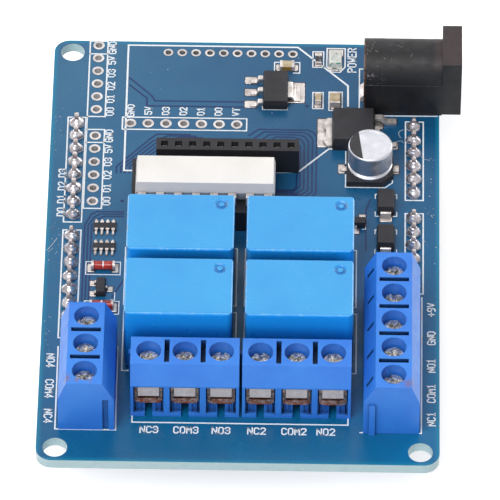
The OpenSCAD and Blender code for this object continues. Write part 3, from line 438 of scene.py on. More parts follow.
def chip_paint():
    """Tan ceramic of the chip capacitors with painted shade on their sides; the resistor at the rear is black
    with pale marks.
    """
    paint = Paint("chip_tan")
    blotch = paint.between(paint.noise(0.7, 3), 0.35, 0.65)
    ceramic = paint.mix(blotch, rgb(196, 180, 150), rgb(166, 146, 112))
    # painted shade: the sides are darker and browner than the top
    ceramic = paint.mix(paint.between(paint.facing("Z"), 0.2, 0.7), rgb(150, 114, 54), ceramic)
    glassy = paint.mix(paint.between(paint.noise(0.35, 4), 0.55, 0.66), rgb(30, 30, 33), rgb(180, 182, 188))
    at_resistor = paint.both(paint.between(paint.axis("Y"), 35.68, 35.7),
                             paint.between(paint.axis("X"), BOARD_X + 8.9, BOARD_X + 9.1))
    paint.color(paint.mix(at_resistor, ceramic, glassy))
    paint.rough(0.35, 0.5, 0.5)
    paint.soften(0.06)
    paint.bump(paint.noise(0.25, 3), 0.01)
    return paint


def lamp_paint():
    """Clear resin over a pale reflector, with the dark die and painted green glints."""
    paint = Paint("lamp_white")
    cloud = paint.between(paint.noise(0.9, 4), 0.35, 0.65)
    milky = paint.mix(cloud, rgb(226, 222, 216), rgb(190, 194, 190))
    # painted glints: green reflections in the resin, on its front part
    green_glint = paint.between(paint.noise(0.55, 3), 0.6, 0.66)
    in_front = paint.between(paint.axis("Y"), 36.2, 35.6)
    milky = paint.mix(paint.both(green_glint, in_front), milky, rgb(60, 150, 120))
    dark = paint.between(paint.noise(0.4, 3), 0.63, 0.7)
    paint.color(paint.mix(dark, milky, rgb(90, 88, 84)))
    paint.rough(0.12, 0.26, 0.8)
    paint.soften(0.1)
    paint.bump(paint.noise(0.5, 3), 0.03)
    return paint


PAINTS = {
    "board": board_paint(),
    # tin: painted shade darkens its corners and the feet of the leads
    "tin": metal("tinned", rgb(226, 219, 215), rgb(178, 170, 166), 0.34, metallic=0.55, grain=0.3,
                 relief=0.04, shade=(rgb(62, 56, 54), 0.9)),
    "header_black": plastic("header_black", rgb(24, 24, 26), rgb(34, 34, 37), 0.45, shine=0.35),
    "pin_metal": metal("pin_plating", rgb(214, 203, 199), rgb(160, 146, 141), 0.32, metallic=0.75),
    "socket_black": plastic("socket_black", rgb(40, 40, 45), rgb(32, 32, 37), 0.5, shine=0.35),
    # white_case: painted shade in its gaps and on the faces that look to the front
    "white_case": plastic("white_case", rgb(243, 239, 235), rgb(234, 230, 225), 0.42,
                          shade=(rgb(126, 130, 140), 6.0), front=rgb(211, 203, 200)),
    "jack_black": jack_paint(),
    "relay_blue": relay_paint(),
    "block_blue": block_paint(),
    "cage_metal": cage_paint(),
    "contact_metal": metal("contact_metal", rgb(226, 216, 213), rgb(200, 190, 187), 0.45, metallic=0.45),
    "screw_metal": screw_paint(),
    "chip_black": plastic("chip_black", rgb(46, 45, 50), rgb(38, 38, 42), 0.55, shine=0.35),
    "can_metal": metal("can_metal", rgb(203, 203, 209), rgb(196, 197, 204), 0.44, grain=0.4, relief=0.006),
    "glass_red": glass_paint(),
    "lamp_white": lamp_paint(),
    "chip_tan": chip_paint(),
}
INK = ink_paint()
TRACE = trace_paint()
# ring_tin: painted shade darkens the rings towards their bores
RING_TIN = metal("ring_tin", rgb(222, 217, 217), rgb(188, 181, 180), 0.4, metallic=0.4, grain=0.3,
                 shade=(rgb(36, 32, 33), 0.85))
# bright_tin: painted shade where the pads meet the leads and bodies
BRIGHT_TIN = metal("bright_tin", rgb(216, 208, 205), rgb(172, 164, 160), 0.32, metallic=0.6, grain=0.3,
                   relief=0.03, shade=(rgb(70, 62, 58), 0.7))
OPENING = plastic("mask_opening", rgb(48, 44, 62), rgb(70, 62, 70), 0.5, grain=0.3)
SOLDER = metal("solder", rgb(216, 212, 216), rgb(150, 144, 150), 0.24, metallic=0.85, grain=0.6,
               relief=0.07, blotch=0.8)
BLACK_INK = plastic("black_ink", rgb(18, 18, 24), rgb(26, 26, 32), 0.4)
SCRATCH = plastic("bared_board", rgb(196, 208, 214), rgb(140, 160, 176), 0.5, grain=0.2)


def paint_node(node, paint):
    """Give a CAD node its paint through an object-linked slot, which leaves its mesh alone."""
    thing = NODES[node]
    if not thing.material_slots:
        thing.data.materials.append(None)
    for place in thing.material_slots:
        place.link = "OBJECT"
        place.material = paint.material


for row in frame["record"]["subparts"]:
    paint_node(row["node"], PAINTS[row["material_slot"]])
paint_node("hole_linings", RING_TIN)


# ---------- mesh building ----------

def add_object(name, data):
    thing = bpy.data.objects.new(name, data)
    bpy.context.scene.collection.objects.link(thing)
    return thing


class Mesh:
    """Collects solid strips and plates lying on the board, then makes one piece of them."""

    def __init__(self):
        self.points = []
        self.faces = []

    def skin(self, start, count, rings):
        """Faces of a closed solid through rings of count points each, from the point start on."""
        self.faces.append(list(range(start + count - 1, start - 1, -1)))
        for ring in range(rings - 1):
            a, b = start + ring * count, start + (ring + 1) * count
            for i in range(count):
                j = (i + 1) % count
                self.faces.append([a + i, a + j, b + j, b + i])
        last = start + (rings - 1) * count
        self.faces.append(list(range(last, last + count)))

    def loft(self, outlines):
        """A solid through outlines of as many points each, given as (points, height above the board)."""
        start = len(self.points)
        for outline, level in outlines:
            self.points += [vertex(x, y, level) for x, y in outline]
        self.skin(start, len(outlines[0][0]), len(outlines))

    def prism(self, outline, foot, top):
        """A plate with this outline, from foot to top above the board."""
        self.loft([(outline, foot), (outline, top)])

    def strip(self, line, width, height, closed=False):
        """A flat strip of this width along a line of points, with mitred corners that never grow long."""
        count = len(line)
        sides = []
        for i, (x, y) in enumerate(line):
            before = line[i - 1] if i or closed else None
            after = line[(i + 1) % count] if i < count - 1 or closed else None
            steps = []
            if before:
                steps.append(Vector((x - before[0], y - before[1])).normalized())
            if after:
                steps.append(Vector((after[0] - x, after[1] - y)).normalized())
            along = sum(steps, Vector((0, 0)))
            along = along.normalized() if along.length > 1e-6 else steps[0]
            across = Vector((-along.y, along.x))
            reach = width / 2 / max(0.35, along.dot(steps[0]))
            middle = Vector((x, y))
            if not closed and i in (0, count - 1):
                middle += along * (width / 2 if i else -width / 2)
            sides.append((middle + across * reach, middle - across * reach))
        start = len(self.points)
        for pair in sides:
            for level in (0, height):
                self.points += [vertex(side.x, side.y, level) for side in pair]
        for i in range(count if closed else count - 1):
            a, b = start + 4 * i, start + 4 * ((i + 1) % count)
            self.faces += [[a + 2, a + 3, b + 3, b + 2], [a, b, b + 1, a + 1],
                           [a, a + 2, b + 2, b], [a + 1, b + 1, b + 3, a + 3]]
        if not closed:
            last = start + 4 * (count - 1)
            self.faces += [[start, start + 1, start + 3, start + 2], [last, last + 2, last + 3, last + 1]]

    def pad(self, left, front, right, rear, height=0.06, corner=0.16, crown=0.3):
        """A tinned pad: a low pillow of solder with rounded corners."""
        shrink = crown * min(right - left, rear - front) / 2
        outlines = []
        for inset, share in ((0, 0), (0, 0.35), (shrink * 0.4, 0.8), (shrink, 1)):
            outline = rounded(left + inset, front + inset, right - inset, rear - inset,
                              max(0.03, corner - inset / 2))
            outlines.append((outline, share * height))
        self.loft(outlines)

    def turned(self, x, y, rings, count=16, wobble=0.0):
        """A turned solid at (x, y) through (radius, height) rings.

        wobble makes it oval and lobed by that share of the radius, and lets it lean.
        """
        oval, lean, lobed, slant = (random.uniform(-wobble, wobble) for _ in range(4))
        outlines = []
        for radius, level in rings:
            outline = []
            for i in range(count):
                turn = 2 * math.pi * i / count
                uneven = radius * (1 + oval * math.cos(2 * turn + lean * 40) + lobed * math.cos(3 * turn))
                outline.append((x + uneven * math.cos(turn) + slant * level * 0.3,
                                y + uneven * math.sin(turn) + lean * level * 0.3))
            outlines.append((outline, level))
        self.loft(outlines)

    def piece(self, name, paint, slot, smooth=False):
        """The finished object, riding on the part; slot is not used."""
        mesh = bpy.data.meshes.new(name)
        mesh.from_pydata(self.points, [], self.faces)
        mesh.materials.append(paint.material)
        mesh.update()
        if smooth:
            mesh.shade_smooth()
        thing = add_object(name, mesh)
        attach(thing, "root")
        return thing


def rectangle(left, front, right, rear):
    return [(left, front), (right, front), (right, rear), (left, rear)]


def rounded(left, front, right, rear, radius, steps=3):
    """Outline of a rectangle with round corners."""
    radius = min(radius, (right - left) / 2.01, (rear - front) / 2.01)
    outline = []
    for i, (x, y) in enumerate(((right, rear), (left, rear), (left, front), (right, front))):
        middle_x = x - radius if x == right else x + radius
        middle_y = y - radius if y == rear else y + radius
        for step in range(steps + 1):
            turn = math.pi / 2 * (i + step / steps)
            outline.append((middle_x + radius * math.cos(turn), middle_y + radius * math.sin(turn)))
    return outline


# ---------- values that the drawing functions share ----------

# heights above the board, each apart from the others so that none hides another
OPENING_H = 0.012
TRACE_H = 0.018
INK_H = 0.035
WEAR_H = 0.045
# widths of the printed lines
INK_W = 0.2
MODULE_LINE = 0.26
CHIP_LINE = 0.17
FINE_LINE = 0.14

HEADER_STRIPS = ("header_strip_left_rear", "header_strip_left_front",
                 "header_strip_right_rear", "header_strip_right_front")
PORT_PITCH = 2.53               # of the lines in a port column
DIODE_ROWS = (-4.35, -11.75)    # y of the two glass diodes
# chips along Y, each as x, y, width, length, height and the length of its tin ends
CHIPS = ((10.37, 36.5, 0.85, 1.6, 0.45, 0.24), (10.39, 28.61, 0.85, 1.6, 0.8, 0.2),
         (12.81, 28.28, 1.5, 2.05, 1.1, 0.24))
# the one along X, as x, y, length, width, height and the length of its tin ends
SIDE_CHIP = (5.85, 35.03, 2.05, 1.3, 0.9, 0.4)


# ---------- printing on the board ----------

# strokes of each sign on a grid of this width and height
SIGN_W, SIGN_H = 4, 6
SIGNS = {
    "G": [[(4, 5), (3, 6), (1, 6), (0, 5), (0, 1), (1, 0), (3, 0), (4, 1), (4, 3), (2.4, 3)]],
    "N": [[(0, 0), (0, 6)], [(0, 6), (4, 0)], [(4, 0), (4, 6)]],
    "D": [[(0, 0), (0, 6), (2.6, 6), (4, 4.6), (4, 1.4), (2.6, 0), (0, 0)]],
    "5": [[(4, 6), (0, 6), (0, 3.6), (3, 3.6), (4, 2.7), (4, 1), (3, 0), (1, 0), (0, 1)]],
    "V": [[(0, 6), (2, 0)], [(2, 0), (4, 6)]],
    "T": [[(0, 6), (4, 6)], [(2, 6), (2, 0)]],
    "0": [[(1, 0), (0, 1), (0, 5), (1, 6), (3, 6), (4, 5), (4, 1), (3, 0), (1, 0)]],
    "O": [[(1, 0), (0, 1), (0, 5), (1, 6), (3, 6), (4, 5), (4, 1), (3, 0), (1, 0)]],
    "1": [[(0.8, 5), (2, 6), (2, 0)], [(0.8, 0), (3.2, 0)]],
    "2": [[(0, 5), (1, 6), (3, 6), (4, 5), (4, 3.8), (0, 0), (4, 0)]],
    "3": [[(0, 5), (1, 6), (3, 6), (4, 5), (4, 4), (3, 3.1), (1.6, 3.1)],
          [(3, 3.1), (4, 2.2), (4, 1), (3, 0), (1, 0), (0, 1)]],
    "4": [[(3, 0), (3, 6), (0, 1.8), (4, 1.8)]],
    "9": [[(0.4, 0), (2.6, 0), (4, 2), (4, 5), (3, 6), (1, 6), (0, 5), (0, 3.8), (1, 2.9), (4, 2.9)]],
    "+": [[(2, 1), (2, 5)], [(0, 3), (4, 3)]],
    "P": [[(0, 0), (0, 6), (3, 6), (4, 5), (4, 3.9), (3, 3), (0, 3)]],
    "W": [[(0, 6), (0.9, 0)], [(0.9, 0), (2, 4)], [(2, 4), (3.1, 0)], [(3.1, 0), (4, 6)]],
    "E": [[(4, 6), (0, 6), (0, 0), (4, 0)], [(0, 3), (3, 3)]],
    "R": [[(0, 0), (0, 6), (3, 6), (4, 5), (4, 3.9), (3, 3), (0, 3)], [(2, 3), (4, 0)]],
    "C": [[(4, 5), (3, 6), (1, 6), (0, 5), (0, 1), (1, 0), (3, 0), (4, 1)]],
    "M": [[(0, 0), (0, 6)], [(0, 6), (2, 2.4)], [(2, 2.4), (4, 6)], [(4, 6), (4, 0)]],
}


def write(mesh, words, x, y, height, advance, quarter=0, width=0.18):
    """Words with their middle at (x, y). quarter turns them by 90 degrees: 1 to the left, -1 to the right."""
    scale_y = height / SIGN_H
    scale_x = advance * 0.68 / SIGN_W
    turn = quarter * math.pi / 2
    for i, sign in enumerate(words):
        shift = (i - (len(words) - 1) / 2) * advance
        for stroke in SIGNS[sign]:
            line = []
            for px, py in stroke:
                u, v = shift + (px - SIGN_W / 2) * scale_x, (py - SIGN_H / 2) * scale_y
                line.append((x + u * math.cos(turn) - v * math.sin(turn),
                             y + u * math.sin(turn) + v * math.cos(turn)))
            mesh.strip(line, width, INK_H)


def draw_outlines():
    """Outlines printed round the headers, hole rows, sockets, relays, terminals and small parts."""
    mesh = Mesh()

    def line(*points, width=INK_W, closed=False):
        mesh.strip(points, width, INK_H, closed)

    def frame_line(left, front, right, rear, width=INK_W):
        line(*rectangle(left, front, right, rear), width=width, closed=True)

    # headers: half a pitch round the pins
    for node in HEADER_STRIPS:
        left, front, right, rear = box_of(node)[:4]
        margin = 0.02
        shift = 0.1 if left > 0 else 0    # the right ones are printed a little off
        frame_line(left - margin + shift, front, right + margin + shift, rear)
    # port columns: boxes over the outer two columns of lines, with the first hole apart
    port_left, port_right, upper_front, lower_rear = -22.69, -20.12, 24.86, 22.32
    for front, rear in ((upper_front, HALF_L - 0.1), (7.02, lower_rear)):
        frame_line(port_left, front, port_right, rear)
        line((port_left, rear - PORT_PITCH), (port_right, rear - PORT_PITCH))
    line((port_left, lower_rear), (port_left, upper_front))
    frame_line(-17.6, 22.47, 0.2, 24.84)
    # outline of the plug-in radio module
    line((-15.85, 14.42), (-17.12, 14.42), (-17.15, 39.12), (7.37, 39.12), (14.66, 31.62), (14.7, 27.66),
         width=MODULE_LINE)
    line((4.4, 14.5), (7.67, 14.56), (12.04, 19.18), (14.76, 19.13), width=0.24)
    # terminals
    line((-14.68, -31.6), (-14.68, -32.8), (15.15, -32.8), (15.15, -31.6))
    line((-25.33, -19.15), (-25.27, -34.25), (-16.9, -34.25), (-17.05, -19.05))
    line((25.33, -9.07), (25.27, -34.1), (16.85, -34.1))
    # relays
    for front, rear, shift in ((-11.1, -0.3, 0.0), (-23.35, -12.35, 0.08)):
        for left, right in ((-16.45, -0.7), (0.47, 16.1)):
            frame_line(left + shift, front, right + shift, rear, 0.18)
    # capacitor, with its front right corner cut
    line((14.45, 14.2), (14.45, 11.8), (20.1, 11.8), (21.12, 12.75), (21.12, 14.2), width=0.16)
    line((14.45, 16.4), (14.45, 18.7), width=0.16)
    # lamp, chips and small regulator
    line((11.6, 39.0), (14.2, 39.0), (14.2, 35.3), (13.5, 34.3), (12.3, 34.3), (11.55, 35.4),
         width=0.18, closed=True)
    for left, front, right, rear in ((9.55, 35.22, 11.1, 38.32), (9.62, 27.03, 11.1, 30.22),
                                     (11.95, 26.72, 13.85, 30.35)):
        frame_line(left, front, right, rear, CHIP_LINE)
    middle = SIDE_CHIP[0]
    for side in (-1, 1):
        outer = middle + side * 1.82
        line((middle + side * 1.2, 36.1), (outer, 36.1), (outer, 34.0), (middle + side * 0.95, 34.0),
             width=CHIP_LINE)
    line((2.42, 27.4), (2.42, 26.72), (5.95, 26.72), (5.95, 27.4), width=FINE_LINE)
    # jack
    line((16.75, 35.0), (16.3, 35.0), (16.3, 25.9), width=CHIP_LINE)
    line((19.0, 25.78), (27.5, 25.85), width=CHIP_LINE)
    # glass diodes, small transistors and power diodes
    for y in DIODE_ROWS:
        frame_line(-21.95, y - 1.2, -17.1, y + 1.2, FINE_LINE)
    line((-18.3, -10.3), (-17.75, -10.3), (-17.75, -8.9), width=FINE_LINE)
    line((16.9, 3.75), (17.35, 3.75), (17.35, 4.6), width=FINE_LINE)
    for edge, inward in ((6.3, 1), (10.5, -1), (3.7, -1), (-0.85, 1)):
        for x, turn in ((18.7, 1), (21.75, -1)):
            line((x + turn * 0.5, edge), (x, edge), (x, edge + inward * 0.8), width=FINE_LINE)
    mesh.piece("printed_outlines", INK, "board")


def draw_labels():
    """Plain electrical marks beside the holes, headers and terminals."""
    mesh = Mesh()
    port = ("GND", "5V", "D3", "D2", "D1", "D0")
    for first in (38.52, 21.1):
        for i, word in enumerate(port):
            write(mesh, word, -19.45, first - i * PORT_PITCH, 1.0, 0.86, quarter=1)
    for i, word in enumerate(port + ("VT",)):
        write(mesh, word, -16.48 + i * 2.52, 26.15, 0.95, 0.84, quarter=1)
    for i, word in enumerate(port[2:]):
        write(mesh, word, -25.85, 13.75 - i * 2.5, 1.0, 0.88, quarter=1)
    write(mesh, "POWER", 15.2, 36.7, 1.15, 1.0, quarter=1)
    for x, word in ((-12.3, "NC3"), (-7.2, "COM3"), (-2.35, "NO3"),
                    (2.55, "NC2"), (7.7, "COM2"), (12.1, "NO2")):
        write(mesh, word, x, -34.1, 1.1, 0.9, width=0.19)
    for y, word in ((-21.7, "NO4"), (-26.9, "COM4"), (-31.9, "NC4")):
        write(mesh, word, -26.3, y, 1.05, 0.88, quarter=-1)
    for y, word in ((-11.3, "+9V"), (-16.6, "GND"), (-21.7, "NO1"), (-26.8, "COM1"), (-31.5, "NC1")):
        write(mesh, word, 26.65, y, 1.05, 0.88, quarter=1)
    mesh.piece("printed_marks", INK, "board")


draw_outlines()
draw_labels()


# ---------- copper under the mask ----------

def draw_traces():
    """Copper lines that show through the solder mask, and the small covered vias."""
    mesh = Mesh()

    def run(*line):
        mesh.strip(line, 0.26, TRACE_H)

    run((-16.8, 32.6), (-13.5, 29.1), (-13.05, 28.15), (-0.3, 28.15))
    run((-16.75, 31.2), (-14.2, 28.65), (-14.2, 27.15), (-0.4, 27.15))
    # nest of lines round the end of the ten-way socket
    for i in range(5):
        left, right, level = 1.9 + 0.82 * i, 10.25 - 0.58 * i, 22.82 - 0.48 * i
        run((left - 1.3, level - 1.2), (left, level), (right - 1.4, level), (right - 0.5, level - 0.4),
            (right, level - 1.3), (right, 10.5 + 0.3 * i), (right - 0.9, 9.6 + 0.3 * i), (2.0, 9.6 + 0.3 * i))
    run((4.4, 11.1), (7.0, 11.1), (7.5, 11.7), (7.5, 14.6))
    run((17.95, 9.4), (17.4, 7.5), (17.4, -0.2))
    # bunch of slanting lines between the hole columns and the ten-way socket
    for i in range(5):
        run((-18.2 + 0.62 * i, 14.0), (-18.2 + 0.62 * i, 15.2), (-13.6 + 0.5 * i, 20.6 - 0.3 * i),
            (-12.6 + 1.6 * i, 21.6 - 0.3 * i), (-7.9 + 0.9 * i, 21.6 - 0.3 * i))
    # lines round the resistor arrays
    for i in range(3):
        run((-22.35 + 0.48 * i, -10.4), (-22.35 + 0.48 * i, 3.8), (-21.5 + 0.48 * i, 5.9 - 0.45 * i),
            (-20.7 + 0.48 * i, 6.45 - 0.45 * i), (-17.0, 6.45 - 0.45 * i))
    run((-18.1, -9.7), (-16.6, -6.6))
    # vias: a low ring round a dimple, as (radius, share of the trace height)
    ring = ((0.26, 0), (0.26, 1), (0.2, 1.6), (0.1, 1.6), (0.06, 0.6))
    for x, y in ((-17.23, 8.54), (8.8, 27.54)):
        mesh.turned(x, y, [(radius, share * TRACE_H) for radius, share in ring], 12)
    mesh.piece("covered_copper", TRACE, "board")


# ---------- solder and small metal ----------

def header_places():
    """Middles of the header pins, one for each pitch of the four strips."""
    for node in HEADER_STRIPS:
        left, front, right, rear = box_of(node)[:4]
        for i in range(round((rear - front) / PITCH)):
            yield (left + right) / 2, front + PITCH * (i + 0.5)


def draw_header_solder():
    """Round lumps of solder drawn up each header pin."""
    mesh = Mesh()
    swell = ((1.0, 0), (1.07, 0.1), (1.09, 0.27), (1.03, 0.48),
             (0.89, 0.7), (0.68, 0.9), (0.5, 1.07), (0.42, 1.22))
    for x, y in header_places():
        size, tall = random.uniform(0.95, 1.05), random.uniform(0.95, 1.2)
        mesh.turned(x, y, [(r * size, h * tall) for r, h in swell], 20, 0.08)
    lumps = mesh.piece("header_lumps", SOLDER, "tin", smooth=True)
    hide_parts("header_solder")


def draw_pads():
    """Tinned pads that show beside the leads of the surface parts, in openings of the mask."""
    mesh, openings = Mesh(), Mesh()
    margin = 0.11

    def pad(left, front, right, rear, height=0.06, corner=0.16):
        mesh.pad(left, front, right, rear, height, corner)
        openings.prism(rounded(left - margin, front - margin, right + margin, rear + margin, 0.2),
                       0, OPENING_H)

    def pad_at(x, y, half_width, half_length, height):
        pad(x - half_width, y - half_length, x + half_width, y + half_length, height)

    # small regulator, then large regulator
    for y in (32.42, 30.05, 27.72):
        pad(-0.15, y - 0.68, 1.5, y + 0.68)
    pad(5.9, 28.1, 8.45, 32.1)
    pad(10.35, 19.5, 12.6, 25.05)
    pad(20.0, 24.2, 21.7, 25.25, 0.28)
    pad(18.45, 23.25, 19.75, 25.0)
    pad(20.6, 19.3, 21.9, 20.55)
    # capacitor, chips and lamp
    for x in (13.9, 21.55):
        pad(x - 0.5, 14.45, x + 0.5, 16.2, 0.12)
    for x in (4.75, 6.95):
        pad_at(x, 35.025, 0.45, 0.625, 0.12)
    for x, half, front, rear in ((10.34, 0.5, 35.4, 38.15), (10.37, 0.5, 27.2, 30.05),
                                 (12.87, 0.7, 26.95, 30.15)):
        pad(x - half, front, x + half, front + 0.7, 0.12)
        pad(x - half, rear - 0.7, x + half, rear, 0.12)
    pad(11.95, 34.6, 13.8, 35.5, 0.08, 0.08)
    pad(11.85, 37.4, 13.9, 38.8, 0.08)
    # glass diodes, small transistors and power diodes
    for y in DIODE_ROWS:
        pad(-21.75, y - 0.8, -20.7, y + 0.8, 0.12)
        pad(-18.3, y - 0.8, -17.3, y + 0.8, 0.12)
    for x, y in ((-20.8, -7.25), (-20.8, -9.2), (-18.45, -8.3)):
        pad_at(x, y, 0.5, 0.5, 0.1)
    for x, y in ((14.98, 6.0), (16.9, 6.0), (15.95, 3.4)):
        pad_at(x, y, 0.5, 0.6, 0.1)
    for y in (10.55, 5.85, 3.75, -0.95):
        pad_at(20.2, y, 0.85, 0.65, 0.1)
    openings.piece("mask_openings", OPENING, "board")
    mesh.piece("tinned_pads", BRIGHT_TIN, "tin", smooth=True)


def draw_array_terminals():
    """Solder tips of the four-resistor arrays: short behind, drop-shaped in front."""
    mesh = Mesh()
    for node in ("resistor_array_1", "resistor_array_2"):
        left, front, right, rear, _, top = box_of(node)
        step = (right - left) / 4
        half = step * 0.3
        for i in range(4):
            x = left + step * (i + 0.5)
            mesh.pad(x - half, front - 0.75, x + half, front + 0.22, top * 0.75, 0.2, 0.5)
            mesh.pad(x - half, rear - 0.22, x + half, rear + 0.55, top * 0.75, 0.2, 0.5)
            mesh.prism(rectangle(x - half, front - 0.02, x + half, front + 0.3), 0, top + 0.025)
            mesh.prism(rectangle(x - half, rear - 0.3, x + half, rear + 0.02), 0, top + 0.025)
    mesh.piece("array_terminals", BRIGHT_TIN, "tin")


def draw_chip_ends():
    """Tinned ends of the chip resistor and the chip capacitors, wrapped round the ceramic."""
    mesh = Mesh()
    thick = 0.02

    def reach(middle, length, band, end):
        """Where the tin of one end starts and stops along the chip, in rising order."""
        return sorted((middle + end * (length / 2 - band), middle + end * (length / 2 + thick)))

    for end in (-1, 1):
        for x, y, width, length, height, band in CHIPS:
            front, rear = reach(y, length, band, end)
            half = width / 2 + thick
            mesh.prism(rectangle(x - half, front, x + half, rear), thick, height + thick)
        x, y, length, width, height, band = SIDE_CHIP
        left, right = reach(x, length, band, end)
        half = width / 2 + thick
        mesh.prism(rectangle(left, y - half, right, y + half), thick, height + thick)
    mesh.piece("chip_ends", BRIGHT_TIN, "tin")


def draw_diode_caps():
    """Metal end caps of the two glass diodes."""
    mesh = Mesh()
    left, front, right, rear, foot, top = box_of("glass_diodes")
    middle, radius, count = (foot + top) / 2, (top - foot) / 2 + 0.015, 20
    turns = [2 * math.pi * i / count for i in range(count)]
    for y in (front + radius, rear - radius):
        for ends in ((left - 0.01, left + 0.32), (right - 0.32, right + 0.01)):
            start = len(mesh.points)
            for x in ends:
                mesh.points += [vertex(x, y + radius * math.cos(turn), middle + radius * math.sin(turn))
                                for turn in turns]
            mesh.skin(start, count, len(ends))
    mesh.piece("diode_caps", BRIGHT_TIN, "tin")


def draw_can_mark():
    """The black segment printed on the capacitor's top, on its left side."""
    mesh = Mesh()
    left, front, right, rear, _, top = box_of("capacitor_can")
    x, y = (left + right) / 2, (front + rear) / 2
    radius = (right - left) / 2 - 0.16
    middle, reach, steps = math.radians(187.2), math.radians(63), 18
    turns = [middle - reach + 2 * reach * i / steps for i in range(steps + 1)]
    outline = [(x + radius * math.cos(turn), y + radius * math.sin(turn)) for turn in turns]
    mesh.prism(outline, top - 0.02, top + 0.012)
    mesh.piece("can_mark", BLACK_INK, "can_metal")


# ---------- wear ----------

def draw_wear():
    """Scratches, specks and a scrape where the board is bared or soiled."""
    mesh = Mesh()
    scratches = (
        (0.1, (-27.5, -1.1), (-27.0, -0.3), (-26.2, 1.2)),
        (0.08, (-27.3, -1.4), (-26.7, -0.7)),
        (0.15, (22.6, 23.1), (22.15, 22.85), (21.95, 22.4), (22.15, 21.8)),
        (0.13, (21.45, 20.6), (21.9, 20.85), (22.4, 20.95), (22.65, 20.6)),
        (0.1, (22.1, 21.7), (22.4, 21.5)),
        (0.08, (25.0, 18.3), (25.5, 17.5), (26.4, 17.2)),
        (0.08, (26.6, 6.6), (26.9, 6.1)),
        (0.08, (25.5, 1.9), (25.8, 1.5)),
    )
    for width, *line in scratches:
        mesh.strip(line, width, WEAR_H)
    specks = [(22.35, 1.36), (26.9, 17.3), (26.2, 16.8), (26.4, 10.3)]
    # scattered ones: left, right, front and rear of each field, and how many lie in it
    fields = ((-27.4, -26.2, 18.0, 26.5, 16), (-27.4, -25.9, -3.0, 4.5, 14),
              (-27.4, -26.0, -20.0, -13.0, 12), (25.6, 27.4, -6.0, 19.0, 16),
              (-16.0, 14.0, 24.0, 38.5, 10))
    for left, right, front, rear, number in fields:
        specks += [(random.uniform(left, right), random.uniform(front, rear)) for _ in range(number)]
    for x, y in specks:
        size = random.uniform(0.04, 0.11)
        mesh.turned(x, y, ((size, 0), (size * 0.9, 0.02), (size * 0.3, 0.04)), 8, 0.3)
    mesh.piece("wear_marks", SCRATCH, "board")


random.seed(7)
draw_traces()
draw_header_solder()
draw_pads()
draw_array_terminals()
draw_chip_ends()
draw_diode_caps()
draw_can_mark()
draw_wear()


# ---------- camera, light and surroundings ----------

def set_camera():
    """A long lens in front of the board, looking down on it by 48 degrees."""
    azimuth, elevation, roll = (math.radians(angle) for angle in (0.777, 47.925, 0.25))
    target = Vector((-0.439, -0.476, TOP)) * MM
    distance = 1011.276 * MM
    back = Vector((math.sin(azimuth) * math.cos(elevation), -math.cos(azimuth) * math.cos(elevation),
                   math.sin(elevation)))
    right = Vector((math.cos(azimuth), math.sin(azimuth), 0))
    up = back.cross(right)
    data = bpy.data.cameras.new("camera")
    data.lens = 516.3
    data.sensor_width = 36
    data.clip_start = 0.01
    data.clip_end = 20
    camera = add_object("camera", data)
    turn = camera.matrix_world.to_3x3()
    turn.col[0] = math.cos(roll) * right + math.sin(roll) * up
    turn.col[1] = math.cos(roll) * up - math.sin(roll) * right
    turn.col[2] = back
    camera.matrix_world = turn.to_4x4()
    camera.location = target + back * distance
    bpy.context.scene.camera = camera


def lamp(name, place, size, power):
    """A round soft lamp at a place given in metres, aimed at the object."""
    data = bpy.data.lights.new(name, "AREA")
    data.shape = "DISK"
    data.size = size
    data.energy = power
    thing = add_object(name, data)
    thing.location = place
    thing.rotation_mode = "QUATERNION"
    thing.rotation_quaternion = (-Vector(place)).to_track_quat("-Z", "Y")


ROOM_LIGHT = 0.36    # of the white room on matt surfaces
ROOM_SHINE = 0.85    # of the same room as glossy surfaces mirror it
PANEL_SHINE = 1.7    # of the panel behind the object
PANEL_AT = (0, 0.67, 0.742)    # the way to it
FLOOR_GLOW = 0.62    # added where the floor is seen or mirrored, so that it shows white


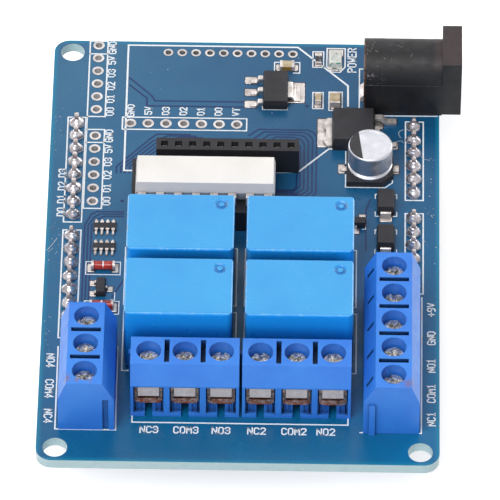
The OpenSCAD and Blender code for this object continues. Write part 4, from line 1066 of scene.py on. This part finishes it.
def set_world():
    """A white room: dim on matt surfaces, brighter where it is mirrored, and white behind the object."""
    world = bpy.data.worlds.new("studio")
    bpy.context.scene.world = world
    world.use_nodes = True
    world.node_tree.nodes.clear()
    nodes = Nodes(world.node_tree)
    path = nodes.add("ShaderNodeLightPath")
    # glossy surfaces also mirror a bright panel high behind the object
    toward = nodes.add("ShaderNodeVectorMath", operation="DOT_PRODUCT")
    nodes.put(toward.inputs[0], nodes.add("ShaderNodeTexCoord").outputs["Generated"])
    nodes.put(toward.inputs[1], PANEL_AT)
    mirrored = nodes.between(toward.outputs["Value"], 0.86, 0.96, ROOM_SHINE, PANEL_SHINE)
    strength = ROOM_LIGHT
    for ray, seen in (("Is Glossy Ray", mirrored), ("Is Transmission Ray", 1.0), ("Is Camera Ray", 1.0)):
        raised = nodes.add("ShaderNodeMix")
        nodes.put(raised.inputs["Factor"], path.outputs[ray])
        nodes.put(raised.inputs["A"], strength)
        nodes.put(raised.inputs["B"], seen)
        strength = raised.outputs["Result"]
    light = nodes.add("ShaderNodeBackground")
    nodes.put(light.inputs["Color"], (1, 1, 1, 1))
    nodes.put(light.inputs["Strength"], strength)
    nodes.put(nodes.add("ShaderNodeOutputWorld").inputs["Surface"], light.outputs[0])


def set_floor():
    """A white sheet under the pins. It looks white and is mirrored white, with the object's shadow kept."""
    mesh = bpy.data.meshes.new("floor")
    reach = 3.0
    corners = [(x, y, 0) for x, y in rectangle(-reach, -reach, reach, reach)]
    mesh.from_pydata(corners, [], [(0, 1, 2, 3)])
    floor = add_object("floor", mesh)
    material = bpy.data.materials.new("floor_white")
    material.use_nodes = True
    material.node_tree.nodes.clear()
    nodes = Nodes(material.node_tree)
    path = nodes.add("ShaderNodeLightPath")
    seen = nodes.math("MAXIMUM", path.outputs["Is Camera Ray"], path.outputs["Is Glossy Ray"])
    seen = nodes.math("MAXIMUM", seen, path.outputs["Is Transmission Ray"])
    matt = nodes.add("ShaderNodeBsdfDiffuse")
    nodes.put(matt.inputs["Color"], (0.78, 0.78, 0.78, 1))
    glow = nodes.add("ShaderNodeEmission")
    nodes.put(glow.inputs["Strength"], nodes.math("MULTIPLY", seen, FLOOR_GLOW))
    total = nodes.add("ShaderNodeAddShader")
    nodes.put(total.inputs[0], matt.outputs[0])
    nodes.put(total.inputs[1], glow.outputs[0])
    nodes.put(nodes.add("ShaderNodeOutputMaterial").inputs["Surface"], total.outputs[0])
    mesh.materials.append(material)


set_camera()
set_world()
set_floor()
lamp("key", (-0.3, -0.55, 1.0), 0.9, 10.6)
lamp("side_left", (-0.9, 0.85, 0.3), 0.6, 4.2)
lamp("side_right", (0.9, 0.85, 0.3), 0.6, 7.0)
bpy.context.scene.view_settings.view_transform = "Standard"
